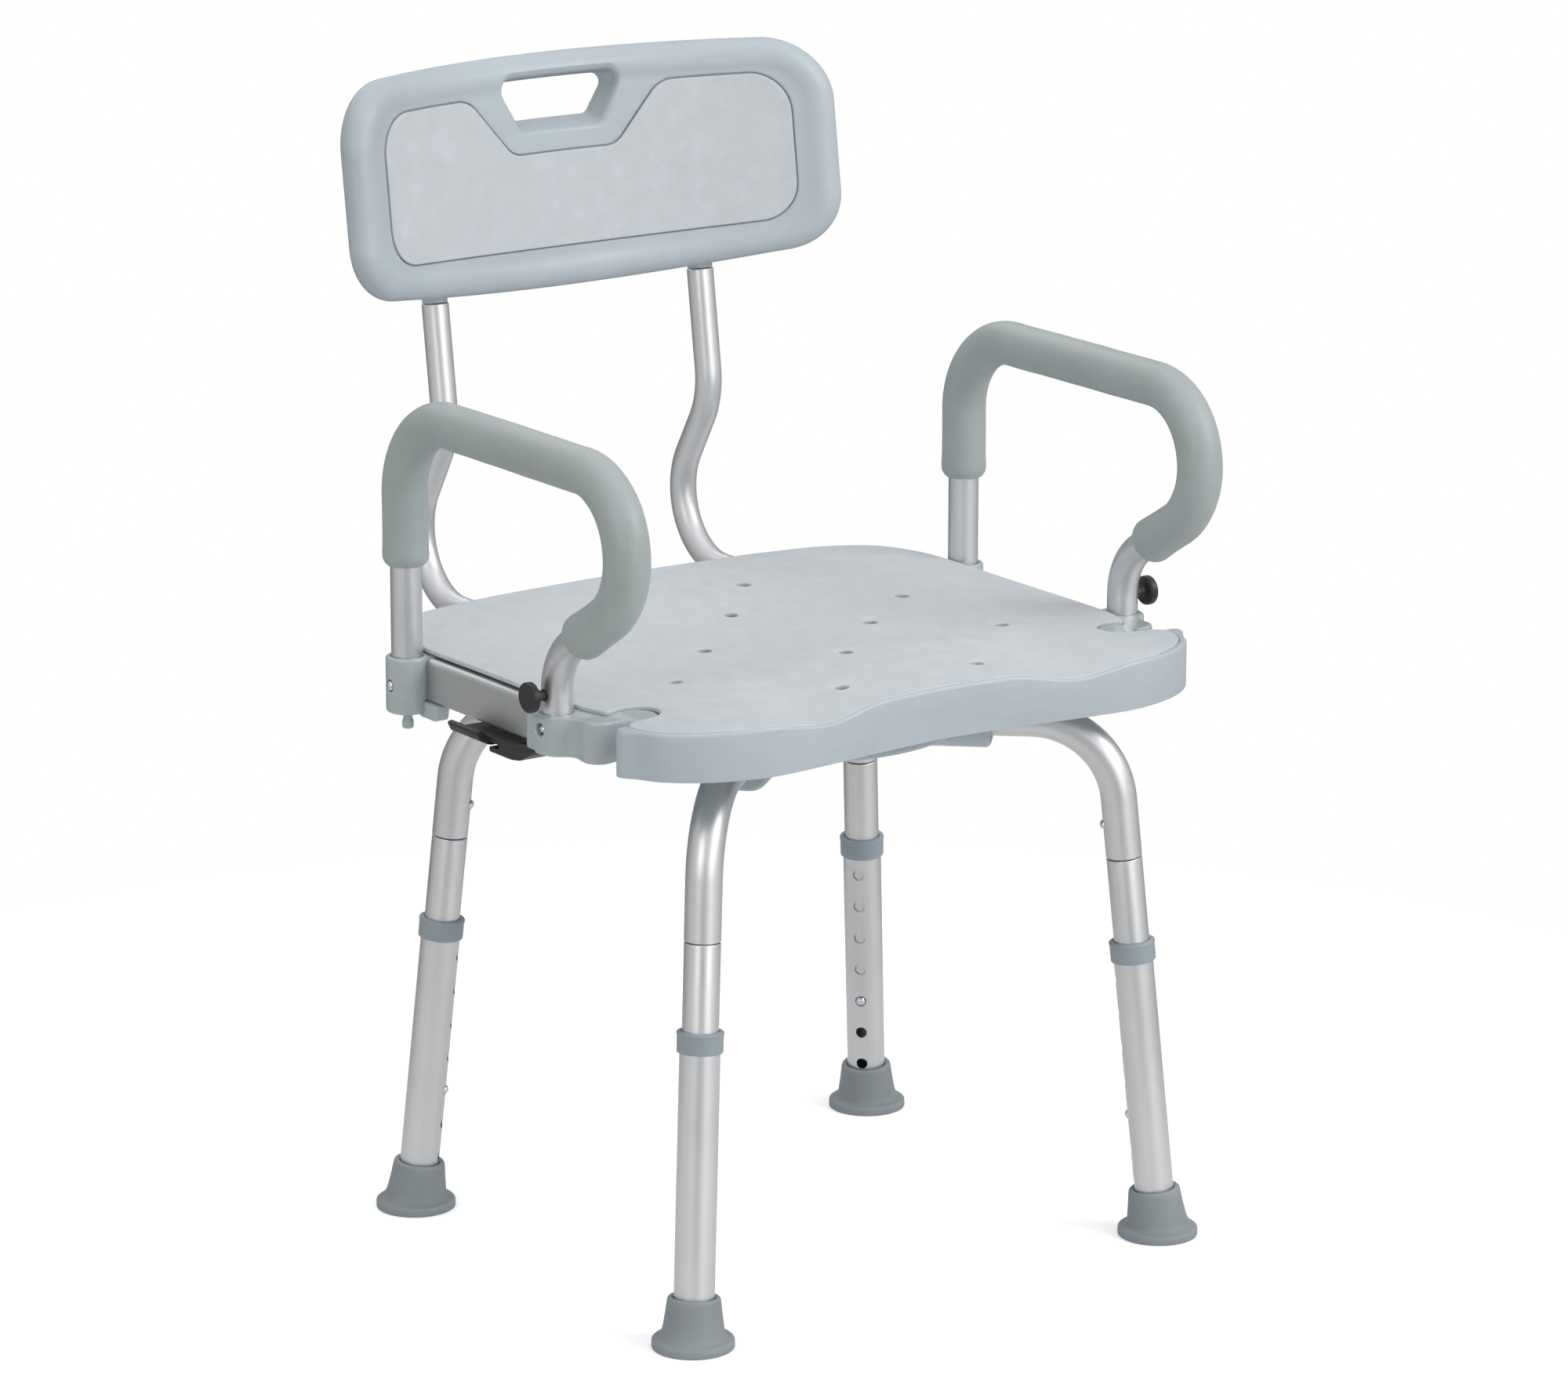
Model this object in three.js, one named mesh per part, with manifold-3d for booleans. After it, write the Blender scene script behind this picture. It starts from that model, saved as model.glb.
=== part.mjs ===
// Swivelling bath chair with removable arms and back.
// Millimetres, +Z up, front of the chair towards -Y, its left side towards -X.
// Parts are laid out around the swivel axis (x = 0, y = 0, floor z = 0); the
// group is then moved by FRAME_Y, so that the origin is the middle of the
// chair's bounding box, on the floor.
import * as THREE from "three";
import { mergeVertices } from "three/addons/utils/BufferGeometryUtils.js";
import Module from "manifold-3d";

const wasm = await Module();
wasm.setup();

// ---------------------------------------------------------------- dimensions
const FRAME_Y = -53.144;
const GAP = 0.4; // clearance between neighbouring pieces
const BORE_GAP = 0.75; // radial clearance of a tube in its bore
const END_GAP = 0.6; // clearance past the end of a tube or rail
const FLOOR_CUT = 340; // cutting solids for the seat parts start at or above this
const BELOW = 380; // under the seat parts
const ABOVE = 450; // over the seat parts

// facets round the tubes and their holes
const LEG_N = 12;
const HOLE_N = 8;

// legs; heights marked "along" run along the leg axis from the floor
const LEG_AZ = 41.4; // leg plane, degrees from the X axis
const LEG_TILT = 5.8; // splay from vertical, degrees
const LEG_R0 = 268; // leg axis meets the floor this far from the swivel axis
const TUBE_Z = 377; // height of the horizontal part of the upper leg tubes
const ARCH_R = 12.7;
const ARCH_WALL = 1.6;
const ARCH_BEND = 62; // centre-line bend radius
const ARCH_START = 63; // inner end of the tube in the base plate
const SEAM = 280.6; // end of the upper tube, along
const MID_R = 12.6;
const MID_WALL = 1.6;
const MID_BOTTOM = 74;
const NECK_R = 10.3; // swaged top of the middle tube
const NECK_WALL = 1.5;
const NECK_TOP = 320;
const UPPER_BUTTON = 304.6; // along
const LOWER_R = 14.0;
const LOWER_IN = 13.05;
const LOWER_BOTTOM = 7;
const LOWER_TOP = 214.2;
const HOLE_PITCH = 25.4;
const HOLE_FIRST = 39.6;
const HOLE_COUNT = 7;
const HOLE_SET = 2; // index of the hole the height button sits in
const HOLE_R = 4.3;
const SET_HEIGHT = HOLE_FIRST + HOLE_SET * HOLE_PITCH;
const BUTTON_R = 3.6;
const COLLAR_R = 16;
const COLLAR_LOW = 204.5;
const COLLAR_HIGH = 219.5;
const FOOT_R = 28.5;
const FOOT_H = 35;

// base plate and turntable
const PLATE_R = 130;
const PLATE_LOW = 373;
const PLATE_TOP = 389;
const HUB_R = 92;
const HUB_TOP = 392.5;
const SADDLE_START = 40;
const SADDLE_END = 146;
const SADDLE_HALF = 24;
const SADDLE_LOW = 358;
const POCKET_IN = 46;
const POCKET_OUT = 122;
const RACE_IN = 56;
const RACE_OUT = 88;
const LOWER_RACE_TOP = HUB_TOP + 2;
const BEARING_TOP = HUB_TOP + 4.4;
const LOCK_X = -103.5;
const LOCK_Y = -14;
const PIN_R = 3.6;

// seat
const WALL_LOW = 399.5;
const SEAT_RIM = 432.8; // top of the pad at its side edges
const CROWN = 3.2; // the middle of the seat stands this much higher
const DIP = 7; // depth of the two thigh dips at the front edge
const DIP_X = 105; // middle of a dip
const DIP_HALF = 55;
const DIP_START = -75; // the dips deepen forwards from this y
const DIP_LENGTH = 110;
const PAD_T = 3.4;
const SHELL_T = 2.8;
const RAIL_IN = 211.5;
const RAIL_OUT = 233.5;
const RAIL_LOW = 398;
const RAIL_HIGH = 428;
const RAIL_FRONT = -57.6;
const RAIL_REAR = 100.6;
const DRAIN_R = 4.75;
const DRAIN_LOW = 404.2;

// arms
const ARM_X = 240.5;
const ARM_R = 11;
const ARM_WALL = 1.4;
const ARM_PAD_R = 16;
const ARM_PAD_LOW = 494; // lower end of the foam on the rear post
const ARM_PAD_TRIM = 8; // the foam stops this far before the lower bend
const POST_REAR = 115;
const POST_FRONT = -75;
const ARM_TOP = 602;
const REAR_BEND = 58;
const FRONT_BEND = 52;
const FRONT_BEND_Y = -108;
const FRONT_BEND_END = 238.5; // degrees, in the (y, z) plane
const LOWER_BEND = 45;
const SOCKET_R = 15;
const SOCKET_FACE = 255.3; // flat outer face of the front arm brackets
const FRONT_POST_END = 403.5;
const REAR_POST_END = 392;
const REAR_BUTTON_Z = 409;
const FRONT_BUTTON_Z = 419.5;
const KNOB_Z = 443;
const PAD_NOTCH_Z = 428.9; // the pad's outline is cut from the brackets above this

// back
const BACK_X = 115;
const BACK_R = 9.8;
const BACK_WALL = 1.3;
const BACK_Z = 417;
const BACK_FRONT = 121;
const BACK_BUTTON_Y = 187;
const BACK_BEND = 52;
const BACK_BEND_Y = 243.5;
const FORWARD_LEAN = 31; // degrees, between the two bends
const BACK_TOP_BEND = 60;
const REAR_LEAN = 8; // degrees, above the upper bend
const BACK_TOP = [273, 637]; // [y, z] of the top of the tube
const PEG = 42; // length of the panel's pegs inside the back tubes
const PANEL_RHO = 400; // plan radius of the panel's middle surface
const PANEL_Y = 290; // middle surface at x = 0 and z = PANEL_REF
const PANEL_REF = 736;
const PANEL_LEAN = 0.14;
const PANEL_HALF_T = 12;

// swivel lever
const LEVER_Y = -36;
const LEVER_Z = 392.6;
const LEVER_OUT = -243;
const LEVER_IN = -222;
const WIRE_R = 2;
const WIRE_TOP = 403; // height of the wire's inner run

const FINISH = {
  tube: { color: 0xc4c7c9, roughness: 0.36, metalness: 1.0 },
  rail: { color: 0xb2b5b4, roughness: 0.42, metalness: 1.0 },
  plastic: { color: 0xadbac0, roughness: 0.42, metalness: 0.0 },
  collar: { color: 0x8d9aa1, roughness: 0.5, metalness: 0.0 },
  pad: { color: 0xcdd1d6, roughness: 0.8, metalness: 0.0 },
  foam: { color: 0x97a4a4, roughness: 0.7, metalness: 0.0 },
  rubber: { color: 0x868f94, roughness: 0.75, metalness: 0.0 },
  black: { color: 0x202122, roughness: 0.5, metalness: 0.0 },
  chrome: { color: 0xd8dadb, roughness: 0.12, metalness: 1.0 },
  steel: { color: 0x9a9d9f, roughness: 0.35, metalness: 1.0 },
};

// ------------------------------------------------------------------- helpers
const rad = THREE.MathUtils.degToRad;
const vec = (x, y, z) => new THREE.Vector3(x, y, z);
const polar = (radius, angle) => [radius * Math.cos(angle), radius * Math.sin(angle)];

function solid(geometry) {
  const bare = geometry.clone();
  for (const name of Object.keys(bare.attributes)) {
    if (name !== "position") bare.deleteAttribute(name);
  }
  const merged = mergeVertices(bare, 1e-4);
  return new wasm.Manifold(new wasm.Mesh({
    numProp: 3,
    vertProperties: new Float32Array(merged.attributes.position.array),
    triVerts: new Uint32Array(merged.index.array),
  }));
}

function geometryOf(manifold) {
  const mesh = manifold.getMesh();
  const positions = new Float32Array(mesh.numVert * 3);
  for (let i = 0; i < mesh.numVert; i++) {
    for (let k = 0; k < 3; k++) {
      positions[3 * i + k] = mesh.vertProperties[i * mesh.numProp + k];
    }
  }
  const geometry = new THREE.BufferGeometry();
  geometry.setAttribute("position", new THREE.BufferAttribute(positions, 3));
  geometry.setIndex(new THREE.BufferAttribute(new Uint32Array(mesh.triVerts), 1));
  geometry.computeVertexNormals();
  return geometry;
}

const union = (...solids) => solids.reduce((a, b) => a.add(b));
const cut = (body, ...tools) => tools.reduce((rest, tool) => rest.subtract(tool), body);

// an indexed geometry reflected in x = 0, its faces turned to point out again
function mirrored(geometry) {
  const copy = geometry.clone();
  copy.applyMatrix4(new THREE.Matrix4().makeScale(-1, 1, 1));
  const index = Array.from(copy.index.array);
  for (let i = 0; i < index.length; i += 3) {
    [index[i + 1], index[i + 2]] = [index[i + 2], index[i + 1]];
  }
  copy.setIndex(index);
  copy.computeVertexNormals();
  return copy;
}

function block(x0, x1, y0, y1, z0, z1) {
  const geometry = new THREE.BoxGeometry(x1 - x0, y1 - y0, z1 - z0);
  geometry.translate((x0 + x1) / 2, (y0 + y1) / 2, (z0 + z1) / 2);
  return solid(geometry);
}

// Solid of revolution about Z from [radius, z] points, closed by the axis or on
// itself. Its faces point out, whichever way the profile runs.
function turned(points, segments) {
  const doubleArea = points.reduce((sum, [r0, z0], i) => {
    const [r1, z1] = points[(i + 1) % points.length];
    return sum + r0 * z1 - r1 * z0;
  }, 0);
  const ordered = doubleArea > 0 ? points : [...points].reverse();
  const profile = ordered.map(([r, z]) => new THREE.Vector2(r, z));
  if (ordered[0][0] !== 0) profile.push(profile[0].clone());
  const geometry = new THREE.LatheGeometry(profile, segments);
  geometry.rotateX(Math.PI / 2);
  return geometry;
}

const ring = (r0, r1, z0, z1, n) => turned([[r0, z0], [r1, z0], [r1, z1], [r0, z1]], n);
const disc = (r, z0, z1, n) => ring(0, r, z0, z1, n);

function discAt(x, y, r, z0, z1, n) {
  const geometry = disc(r, z0, z1, n);
  geometry.translate(x, y, 0);
  return geometry;
}

// a round bar between two points
function bar(from, to, r, n) {
  const geometry = new THREE.CylinderGeometry(r, r, from.distanceTo(to), n);
  const direction = to.clone().sub(from).normalize();
  const turn = new THREE.Quaternion().setFromUnitVectors(vec(0, 1, 0), direction);
  geometry.applyQuaternion(turn);
  const middle = from.clone().add(to).multiplyScalar(0.5);
  geometry.translate(middle.x, middle.y, middle.z);
  return geometry;
}

const rod = (from, to, r, n) => solid(bar(from, to, r, n));

function shapeOf(points, holes = []) {
  const vectors = (list) => list.map(([x, y]) => new THREE.Vector2(x, y));
  const shape = new THREE.Shape(vectors(points));
  for (const hole of holes) shape.holes.push(new THREE.Path(vectors(hole)));
  return shape;
}

function prism(points, z0, z1, holes) {
  const options = { depth: z1 - z0, bevelEnabled: false };
  const geometry = new THREE.ExtrudeGeometry(shapeOf(points, holes), options);
  geometry.translate(0, 0, z0);
  return geometry;
}

// profile given as [y, z], run along X from x0 to x1
function prismX(points, x0, x1) {
  const geometry = prism(points, x0, x1);
  const axes = new THREE.Matrix4().makeBasis(vec(0, 1, 0), vec(0, 0, 1), vec(1, 0, 0));
  geometry.applyMatrix4(axes);
  return geometry;
}

// profile given as [x, z], run along Y from y0 to y1
function prismY(points, y0, y1, holes) {
  const geometry = prism(points, -y1, -y0, holes);
  geometry.rotateX(Math.PI / 2);
  return geometry;
}

// polygon from corners [x, y] (sharp) or [x, y, radius, segments] (rounded)
function rounded(corners) {
  const count = corners.length;
  const cornerAt = (i) => new THREE.Vector2(...corners[(i + count) % count].slice(0, 2));
  return corners.flatMap(([x, y, radius, segments], i) => {
    if (!radius) return [[x, y]];
    const corner = cornerAt(i);
    const before = cornerAt(i - 1).sub(corner).normalize();
    const after = cornerAt(i + 1).sub(corner).normalize();
    const half = Math.acos(THREE.MathUtils.clamp(before.dot(after), -1, 1)) / 2;
    const reach = radius / Math.tan(half);
    const centre = before.clone().add(after).normalize()
      .multiplyScalar(radius / Math.sin(half)).add(corner);
    const start = before.clone().multiplyScalar(reach).add(corner).sub(centre);
    const end = after.clone().multiplyScalar(reach).add(corner).sub(centre);
    const first = Math.atan2(start.y, start.x);
    let sweep = Math.atan2(end.y, end.x) - first;
    if (sweep > Math.PI) sweep -= 2 * Math.PI;
    if (sweep < -Math.PI) sweep += 2 * Math.PI;
    return Array.from({ length: segments + 1 }, (_, k) => {
      const [dx, dy] = polar(radius, first + (sweep * k) / segments);
      return [centre.x + dx, centre.y + dy];
    });
  });
}

// closes a half outline with its reflection, dropping doubled points
function mirrorHalf(half) {
  const all = [...half, ...[...half].reverse().map(([x, y]) => [-x, y])];
  return all.filter(([x, y], i) => {
    const [nextX, nextY] = all[(i + 1) % all.length];
    return Math.hypot(x - nextX, y - nextY) > 1e-6;
  });
}

// A planar centre line of straights and arcs, given in its own (u, v) plane.
// Each station is one ring of the tube; place() turns (u, v) into a 3D point.
class Track extends THREE.Curve {
  constructor(place) {
    super();
    this.place = place;
    this.points = [];
    this.tangents = [];
  }
  station(u, v, tangentU, tangentV) {
    const tangent = this.place(tangentU, tangentV).sub(this.place(0, 0)).normalize();
    this.points.push(this.place(u, v));
    this.tangents.push(tangent);
    return this;
  }
  // n stations round (cu, cv) from angle a0, left out itself, to a1, in degrees
  arc(cu, cv, r, a0, a1, n) {
    const sign = Math.sign(a1 - a0);
    for (let i = 1; i <= n; i++) {
      const [cos, sin] = polar(1, rad(a0 + ((a1 - a0) * i) / n));
      this.station(cu + r * cos, cv + r * sin, -sign * sin, sign * cos);
    }
    return this;
  }
  getTangentAt(u, target = vec(0, 0, 0)) {
    return target.copy(this.tangents[Math.round(u * (this.tangents.length - 1))]);
  }
  getSpacedPoints() {
    return this.points.map((point) => point.clone());
  }
}

function tubeAlong(track, outer, inner, outerN, innerN = outerN) {
  const circle = (r, n) => Array.from({ length: n }, (_, i) => polar(r, (2 * Math.PI * i) / n));
  return solid(new THREE.ExtrudeGeometry(
    shapeOf(circle(outer, outerN), [circle(inner, innerN).reverse()]),
    { steps: track.points.length - 1, extrudePath: track },
  ));
}

const group = new THREE.Group();
group.position.y = FRAME_Y;

function add(name, geometry, finish, parent = group) {
  const mesh = new THREE.Mesh(geometry, new THREE.MeshStandardMaterial(FINISH[finish]));
  mesh.name = name;
  parent.add(mesh);
  return mesh;
}

function pair(name, geometry, finish) {
  add(`${name}_right`, geometry, finish);
  add(`${name}_left`, mirrored(geometry), finish);
}

// ---------------------------------------------------------------------- legs
// Leg plane frame: x outwards, z up. Leg axis frame: z up the leg.
const tilt = rad(LEG_TILT);
const LEG_MATRIX = new THREE.Matrix4().makeTranslation(LEG_R0, 0, 0)
  .multiply(new THREE.Matrix4().makeRotationY(-tilt));
const LEGS = { fr: -LEG_AZ, rr: LEG_AZ, rl: 180 - LEG_AZ, fl: 180 + LEG_AZ };

// cutter for a button hole in the inner side of a leg tube, in the leg axis frame
const legHole = (height) => bar(vec(-2, 0, height), vec(-30, 0, height), HOLE_R, HOLE_N);

function legUpperTube() {
  const bendZ = TUBE_Z - ARCH_BEND;
  const bendX = (Math.cos(tilt) * LEG_R0 - ARCH_BEND - Math.sin(tilt) * bendZ) / Math.cos(tilt);
  const track = new Track((u, v) => vec(u, 0, v))
    .station(ARCH_START, TUBE_Z, 1, 0)
    .station(bendX, TUBE_Z, 1, 0)
    .arc(bendX, bendZ, ARCH_BEND, 90, LEG_TILT, 7)
    .station(LEG_R0 - SEAM * Math.sin(tilt), SEAM * Math.cos(tilt), Math.sin(tilt), -Math.cos(tilt));
  const hole = legHole(UPPER_BUTTON);
  hole.applyMatrix4(LEG_MATRIX);
  return geometryOf(cut(tubeAlong(track, ARCH_R, ARCH_R - ARCH_WALL, LEG_N), solid(hole)));
}

function legMiddleTube() {
  const shoulder = SEAM - GAP - 0.2;
  const body = turned([
    [MID_R - MID_WALL, MID_BOTTOM], [MID_R, MID_BOTTOM], [MID_R, SEAM - 3],
    [MID_R - 1, shoulder], [NECK_R, shoulder], [NECK_R, NECK_TOP],
    [NECK_R - NECK_WALL, NECK_TOP], [NECK_R - NECK_WALL, SEAM - 4], [MID_R - MID_WALL, SEAM - 8],
  ], LEG_N);
  return geometryOf(cut(solid(body), solid(legHole(UPPER_BUTTON)), solid(legHole(SET_HEIGHT))));
}

function legLowerTube() {
  const holes = Array.from({ length: HOLE_COUNT },
    (_, k) => solid(legHole(HOLE_FIRST + k * HOLE_PITCH)));
  return geometryOf(cut(solid(ring(LOWER_IN, LOWER_R, LOWER_BOTTOM, LOWER_TOP, LEG_N)), ...holes));
}

// sleeve round the lower tube, with a lip over its top
function legCollar() {
  const chamfer = 1.2;
  const lipR = MID_R + 0.5;
  return turned([
    [LOWER_R + GAP, COLLAR_LOW], [COLLAR_R, COLLAR_LOW], [COLLAR_R, COLLAR_HIGH - chamfer],
    [COLLAR_R - chamfer, COLLAR_HIGH], [lipR, COLLAR_HIGH], [lipR, LOWER_TOP + GAP],
    [LOWER_R + GAP, LOWER_TOP + GAP],
  ], LEG_N);
}

// level flange on the floor, with a tilted cone bored for the lower tube
function foot() {
  const flange = turned([
    [0, 0], [FOOT_R, 0], [FOOT_R, 5], [FOOT_R - 1.8, 7.4], [21.5, 8.6], [0, 8.6],
  ], 16);
  flange.translate(LEG_R0 - 0.5, 0, 0);
  const cone = turned([[0, 4], [20.6, 4], [17.7, FOOT_H], [0, FOOT_H]], 16);
  cone.applyMatrix4(LEG_MATRIX);
  const bore = disc(LOWER_R + GAP, LOWER_BOTTOM - GAP, 60, LEG_N);
  bore.applyMatrix4(LEG_MATRIX);
  return geometryOf(cut(union(solid(flange), solid(cone)), solid(bore)));
}

// spring button with a conical nose, pointing along -X with its tip at x = -tip
function button(tip, length) {
  const nose = 1.7;
  const profile = [[0, 0], [BUTTON_R, 0], [BUTTON_R, length - nose], [0, length]];
  const geometry = turned(profile, 8);
  geometry.rotateY(-Math.PI / 2);
  geometry.translate(length - tip, 0, 0);
  return geometry;
}

function addLeg(name, azimuth) {
  const plane = new THREE.Group();
  plane.rotation.z = rad(azimuth);
  group.add(plane);
  add(`leg_upper_tube_${name}`, legUpperTube(), "tube", plane);
  add(`foot_${name}`, foot(), "rubber", plane);

  const axis = new THREE.Group();
  axis.position.x = LEG_R0;
  axis.rotation.y = -tilt;
  plane.add(axis);
  add(`leg_middle_tube_${name}`, legMiddleTube(), "tube", axis);
  add(`leg_lower_tube_${name}`, legLowerTube(), "tube", axis);
  add(`leg_collar_${name}`, legCollar(), "collar", axis);
  const heightButton = add(`height_button_${name}`, button(LOWER_R + 2, 9), "chrome", axis);
  heightButton.position.z = SET_HEIGHT;
  const jointButton = add(`leg_joint_button_${name}`, button(ARCH_R + 2.3, 9), "chrome", axis);
  jointButton.position.z = UPPER_BUTTON;
}

// ---------------------------------------------------- base plate and turntable
// start and end angles of the pockets under the plate, degrees
const POCKETS = [[-26, 26], [58, 122], [154, 206], [238, 302]];

// round-bottomed beam that holds one upper leg tube
function saddle(azimuth) {
  const geometry = prismX(rounded([
    [-SADDLE_HALF, PLATE_TOP], [-SADDLE_HALF, SADDLE_LOW, 16, 3],
    [SADDLE_HALF, SADDLE_LOW, 16, 3], [SADDLE_HALF, PLATE_TOP],
  ]), SADDLE_START, SADDLE_END);
  geometry.rotateZ(rad(azimuth));
  return solid(geometry);
}

function saddleBore(azimuth) {
  const at = (radius) => vec(...polar(radius, rad(azimuth)), TUBE_Z);
  return rod(at(ARCH_START - END_GAP), at(200), ARCH_R + BORE_GAP, 14);
}

function pocket([start, end]) {
  const steps = 3;
  const points = [];
  for (let i = 0; i <= steps; i++) {
    points.push(polar(POCKET_OUT, rad(start + ((end - start) * i) / steps)));
  }
  const middle = rad((start + end) / 2);
  const halfIn = rad(end - start) / 2 - 0.05; // slightly narrower at the inner end
  points.push(polar(POCKET_IN, middle + halfIn), polar(POCKET_IN, middle - halfIn));
  return solid(prism(points, PLATE_LOW - 1, PLATE_LOW + 10));
}

// one of the four holes for the lock pin, a quarter turn apart
function lockHole(quarter) {
  const geometry = discAt(LOCK_X, LOCK_Y, PIN_R + 0.9, PLATE_TOP - 5, HUB_TOP + 2, 8);
  geometry.rotateZ((quarter * Math.PI) / 2);
  return solid(geometry);
}

function basePlate() {
  const plate = turned([
    [0, PLATE_LOW], [PLATE_R - 4, PLATE_LOW], [PLATE_R, PLATE_LOW + 4], [PLATE_R, PLATE_TOP],
    [HUB_R + 1, PLATE_TOP], [HUB_R, HUB_TOP], [0, HUB_TOP],
  ], 28);
  const azimuths = Object.values(LEGS);
  return geometryOf(cut(
    union(solid(plate), ...azimuths.map(saddle)),
    ...POCKETS.map(pocket),
    ...azimuths.map(saddleBore),
    ...[0, 1, 2, 3].map(lockHole),
    solid(disc(5.6, FLOOR_CUT, 420, 12)),
  ));
}

const centreBolt = () => turned([
  [0, 364], [9, 364], [9, 372.5], [5, 372.5], [5, 403.5], [9.5, 403.5], [9.5, 409], [0, 409],
], 10);

// ---------------------------------------------------------------------- seat
// height of the pad's top: crowned across, with a dip for each thigh at the front
function seatTop(x, y) {
  const crown = CROWN * Math.max(0, 1 - (x / 215) ** 2);
  const offset = (Math.abs(x) - DIP_X) / DIP_HALF;
  const across = Math.abs(offset) < 1 ? Math.cos((Math.PI * offset) / 2) ** 2 : 0;
  const forward = THREE.MathUtils.clamp((DIP_START - y) / DIP_LENGTH, 0, 1);
  return SEAT_RIM + crown - DIP * across * forward * forward * (3 - 2 * forward);
}

// grid lines of the seat surface
const GRID_X = [-270, -215, -158, -128, -82, -52, 0, 52, 82, 128, 158, 215, 270];
const GRID_Y = [-230, -188, -145, -105, -75, 230];

// everything from FLOOR_CUT up to the seat surface raised by rise
function underSeat(rise) {
  const nx = GRID_X.length;
  const ny = GRID_Y.length;
  const positions = [];
  for (const top of [true, false]) {
    for (const y of GRID_Y) {
      for (const x of GRID_X) positions.push(x, y, top ? seatTop(x, y) + rise : FLOOR_CUT);
    }
  }
  const top = (j, i) => j * nx + i;
  const low = (j, i) => nx * ny + j * nx + i;
  const index = [];
  const quad = (a, b, c, d) => index.push(a, b, c, a, c, d);
  for (let j = 0; j + 1 < ny; j++) {
    for (let i = 0; i + 1 < nx; i++) {
      quad(top(j, i), top(j, i + 1), top(j + 1, i + 1), top(j + 1, i));
      // the diagonal runs the same way as on top
      const [a, b, c, d] = [low(j, i), low(j, i + 1), low(j + 1, i + 1), low(j + 1, i)];
      index.push(a, c, b, a, d, c);
    }
  }
  for (let i = 0; i + 1 < nx; i++) {
    quad(low(0, i), low(0, i + 1), top(0, i + 1), top(0, i));
    quad(low(ny - 1, i + 1), low(ny - 1, i), top(ny - 1, i), top(ny - 1, i + 1));
  }
  for (let j = 0; j + 1 < ny; j++) {
    quad(low(j + 1, 0), low(j, 0), top(j, 0), top(j + 1, 0));
    quad(low(j, nx - 1), low(j + 1, nx - 1), top(j + 1, nx - 1), top(j, nx - 1));
  }
  const geometry = new THREE.BufferGeometry();
  geometry.setAttribute("position", new THREE.Float32BufferAttribute(positions, 3));
  geometry.setIndex(index);
  return solid(geometry);
}

// [x, y] outlines, from the rear centre round the right side to the front centre
const padOutline = (grow) => mirrorHalf([
  [0, 204 + grow], [120, 202 + grow], [178 + grow, 194 + grow], [209 + grow, 177 + grow],
  [223 + grow, 150 + grow], [227 + grow, 128], [227 + grow, -50], [225 + grow, -88],
  [219 + grow, -103 - grow], [205, -100.5 - grow], [195 + grow, -104.5 - grow],
  [189.5 + grow, -112], [188.5 + grow, -118], [191 + grow, -125.5 + grow],
  [198, -131.5 + grow], [210, -133.5 + grow], [221, -135 + grow], [227.6 + grow, -142],
  [226.5 + grow, -153], [219.5 + grow, -166], [206 + grow, -179], [190, -188.5 - grow],
  [170, -195.5 - grow], [150, -198.5 - grow], [60, -189.5 - grow], [0, -185 - grow],
]);
const bodyOutline = (inset) => mirrorHalf([
  [0, 207 - inset], [121, 205 - inset], [179 - inset, 197.5 - inset],
  [211 - inset, 180.5 - inset], [224 - inset, 156], [224 - inset, 136 + inset],
  [209 - inset, 134 + inset], [209 - inset, -138.5 - inset], [236 - inset, -138.5 - inset],
  [239.5 - inset, -140.2 - inset], [237.6 - inset, -146], [231.5 - inset, -155],
  [224 - inset, -169.5], [209.5 - inset, -183 + inset], [192, -193.2 + inset],
  [171, -200.3 + inset], [150, -203.4 + inset], [60, -194.5 + inset], [0, -190 + inset],
]);

// [x, y] of the drain holes
const DRAINS = [
  [57, -147], [-57, -147], [0, -72], [139, -67], [-139, -67], [71, -3], [-71, -3],
  [0, 67], [137, 49], [-137, 49], [54, 129], [-54, 129],
];
const drains = () => DRAINS.map(([x, y]) => solid(discAt(x, y, DRAIN_R, DRAIN_LOW, ABOVE, 8)));

// straight ribs under the seat: x0, x1, y0, y1
const RIBS = [
  [90, 207, 28, 31], [-207, -90, 28, 31],
  [-42, -39, -193, -80], [39, 42, -193, -80],
  [-42, -39, 80, 204], [39, 42, 80, 204],
];
const RIB_LOW = 406;

function seatPad() {
  const slab = solid(prism(padOutline(0), 400, ABOVE)).intersect(underSeat(0));
  return geometryOf(cut(slab, underSeat(-PAD_T), ...drains()));
}

// Pieces of the front arm bracket and of its room in the seat, seen in plan.
// levels is [low, high].
const pillar = (x, y, r, levels, n = 14) => solid(discAt(x, y, r, ...levels, n));

function link(x0, y0, x1, y1, halfWidth, levels) {
  const along = new THREE.Vector2(x1 - x0, y1 - y0).normalize();
  const [dx, dy] = [-along.y * halfWidth, along.x * halfWidth];
  const points = [[x0 - dx, y0 - dy], [x1 - dx, y1 - dy], [x1 + dx, y1 + dy], [x0 + dx, y0 + dy]];
  return solid(prism(points, ...levels));
}

// cutter in the seat body round the right front arm bracket
function bracketRoom() {
  const levels = [BELOW, ABOVE];
  return geometryOf(union(
    pillar(ARM_X, POST_FRONT, 16.8, levels),
    pillar(226, -108, 13.8, levels),
    pillar(205, -117, 16.3, levels),
    link(226, -108, 205, -117, 13.8, levels),
    link(237, -78, 228, -107, 10.8, levels),
  ));
}

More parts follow.
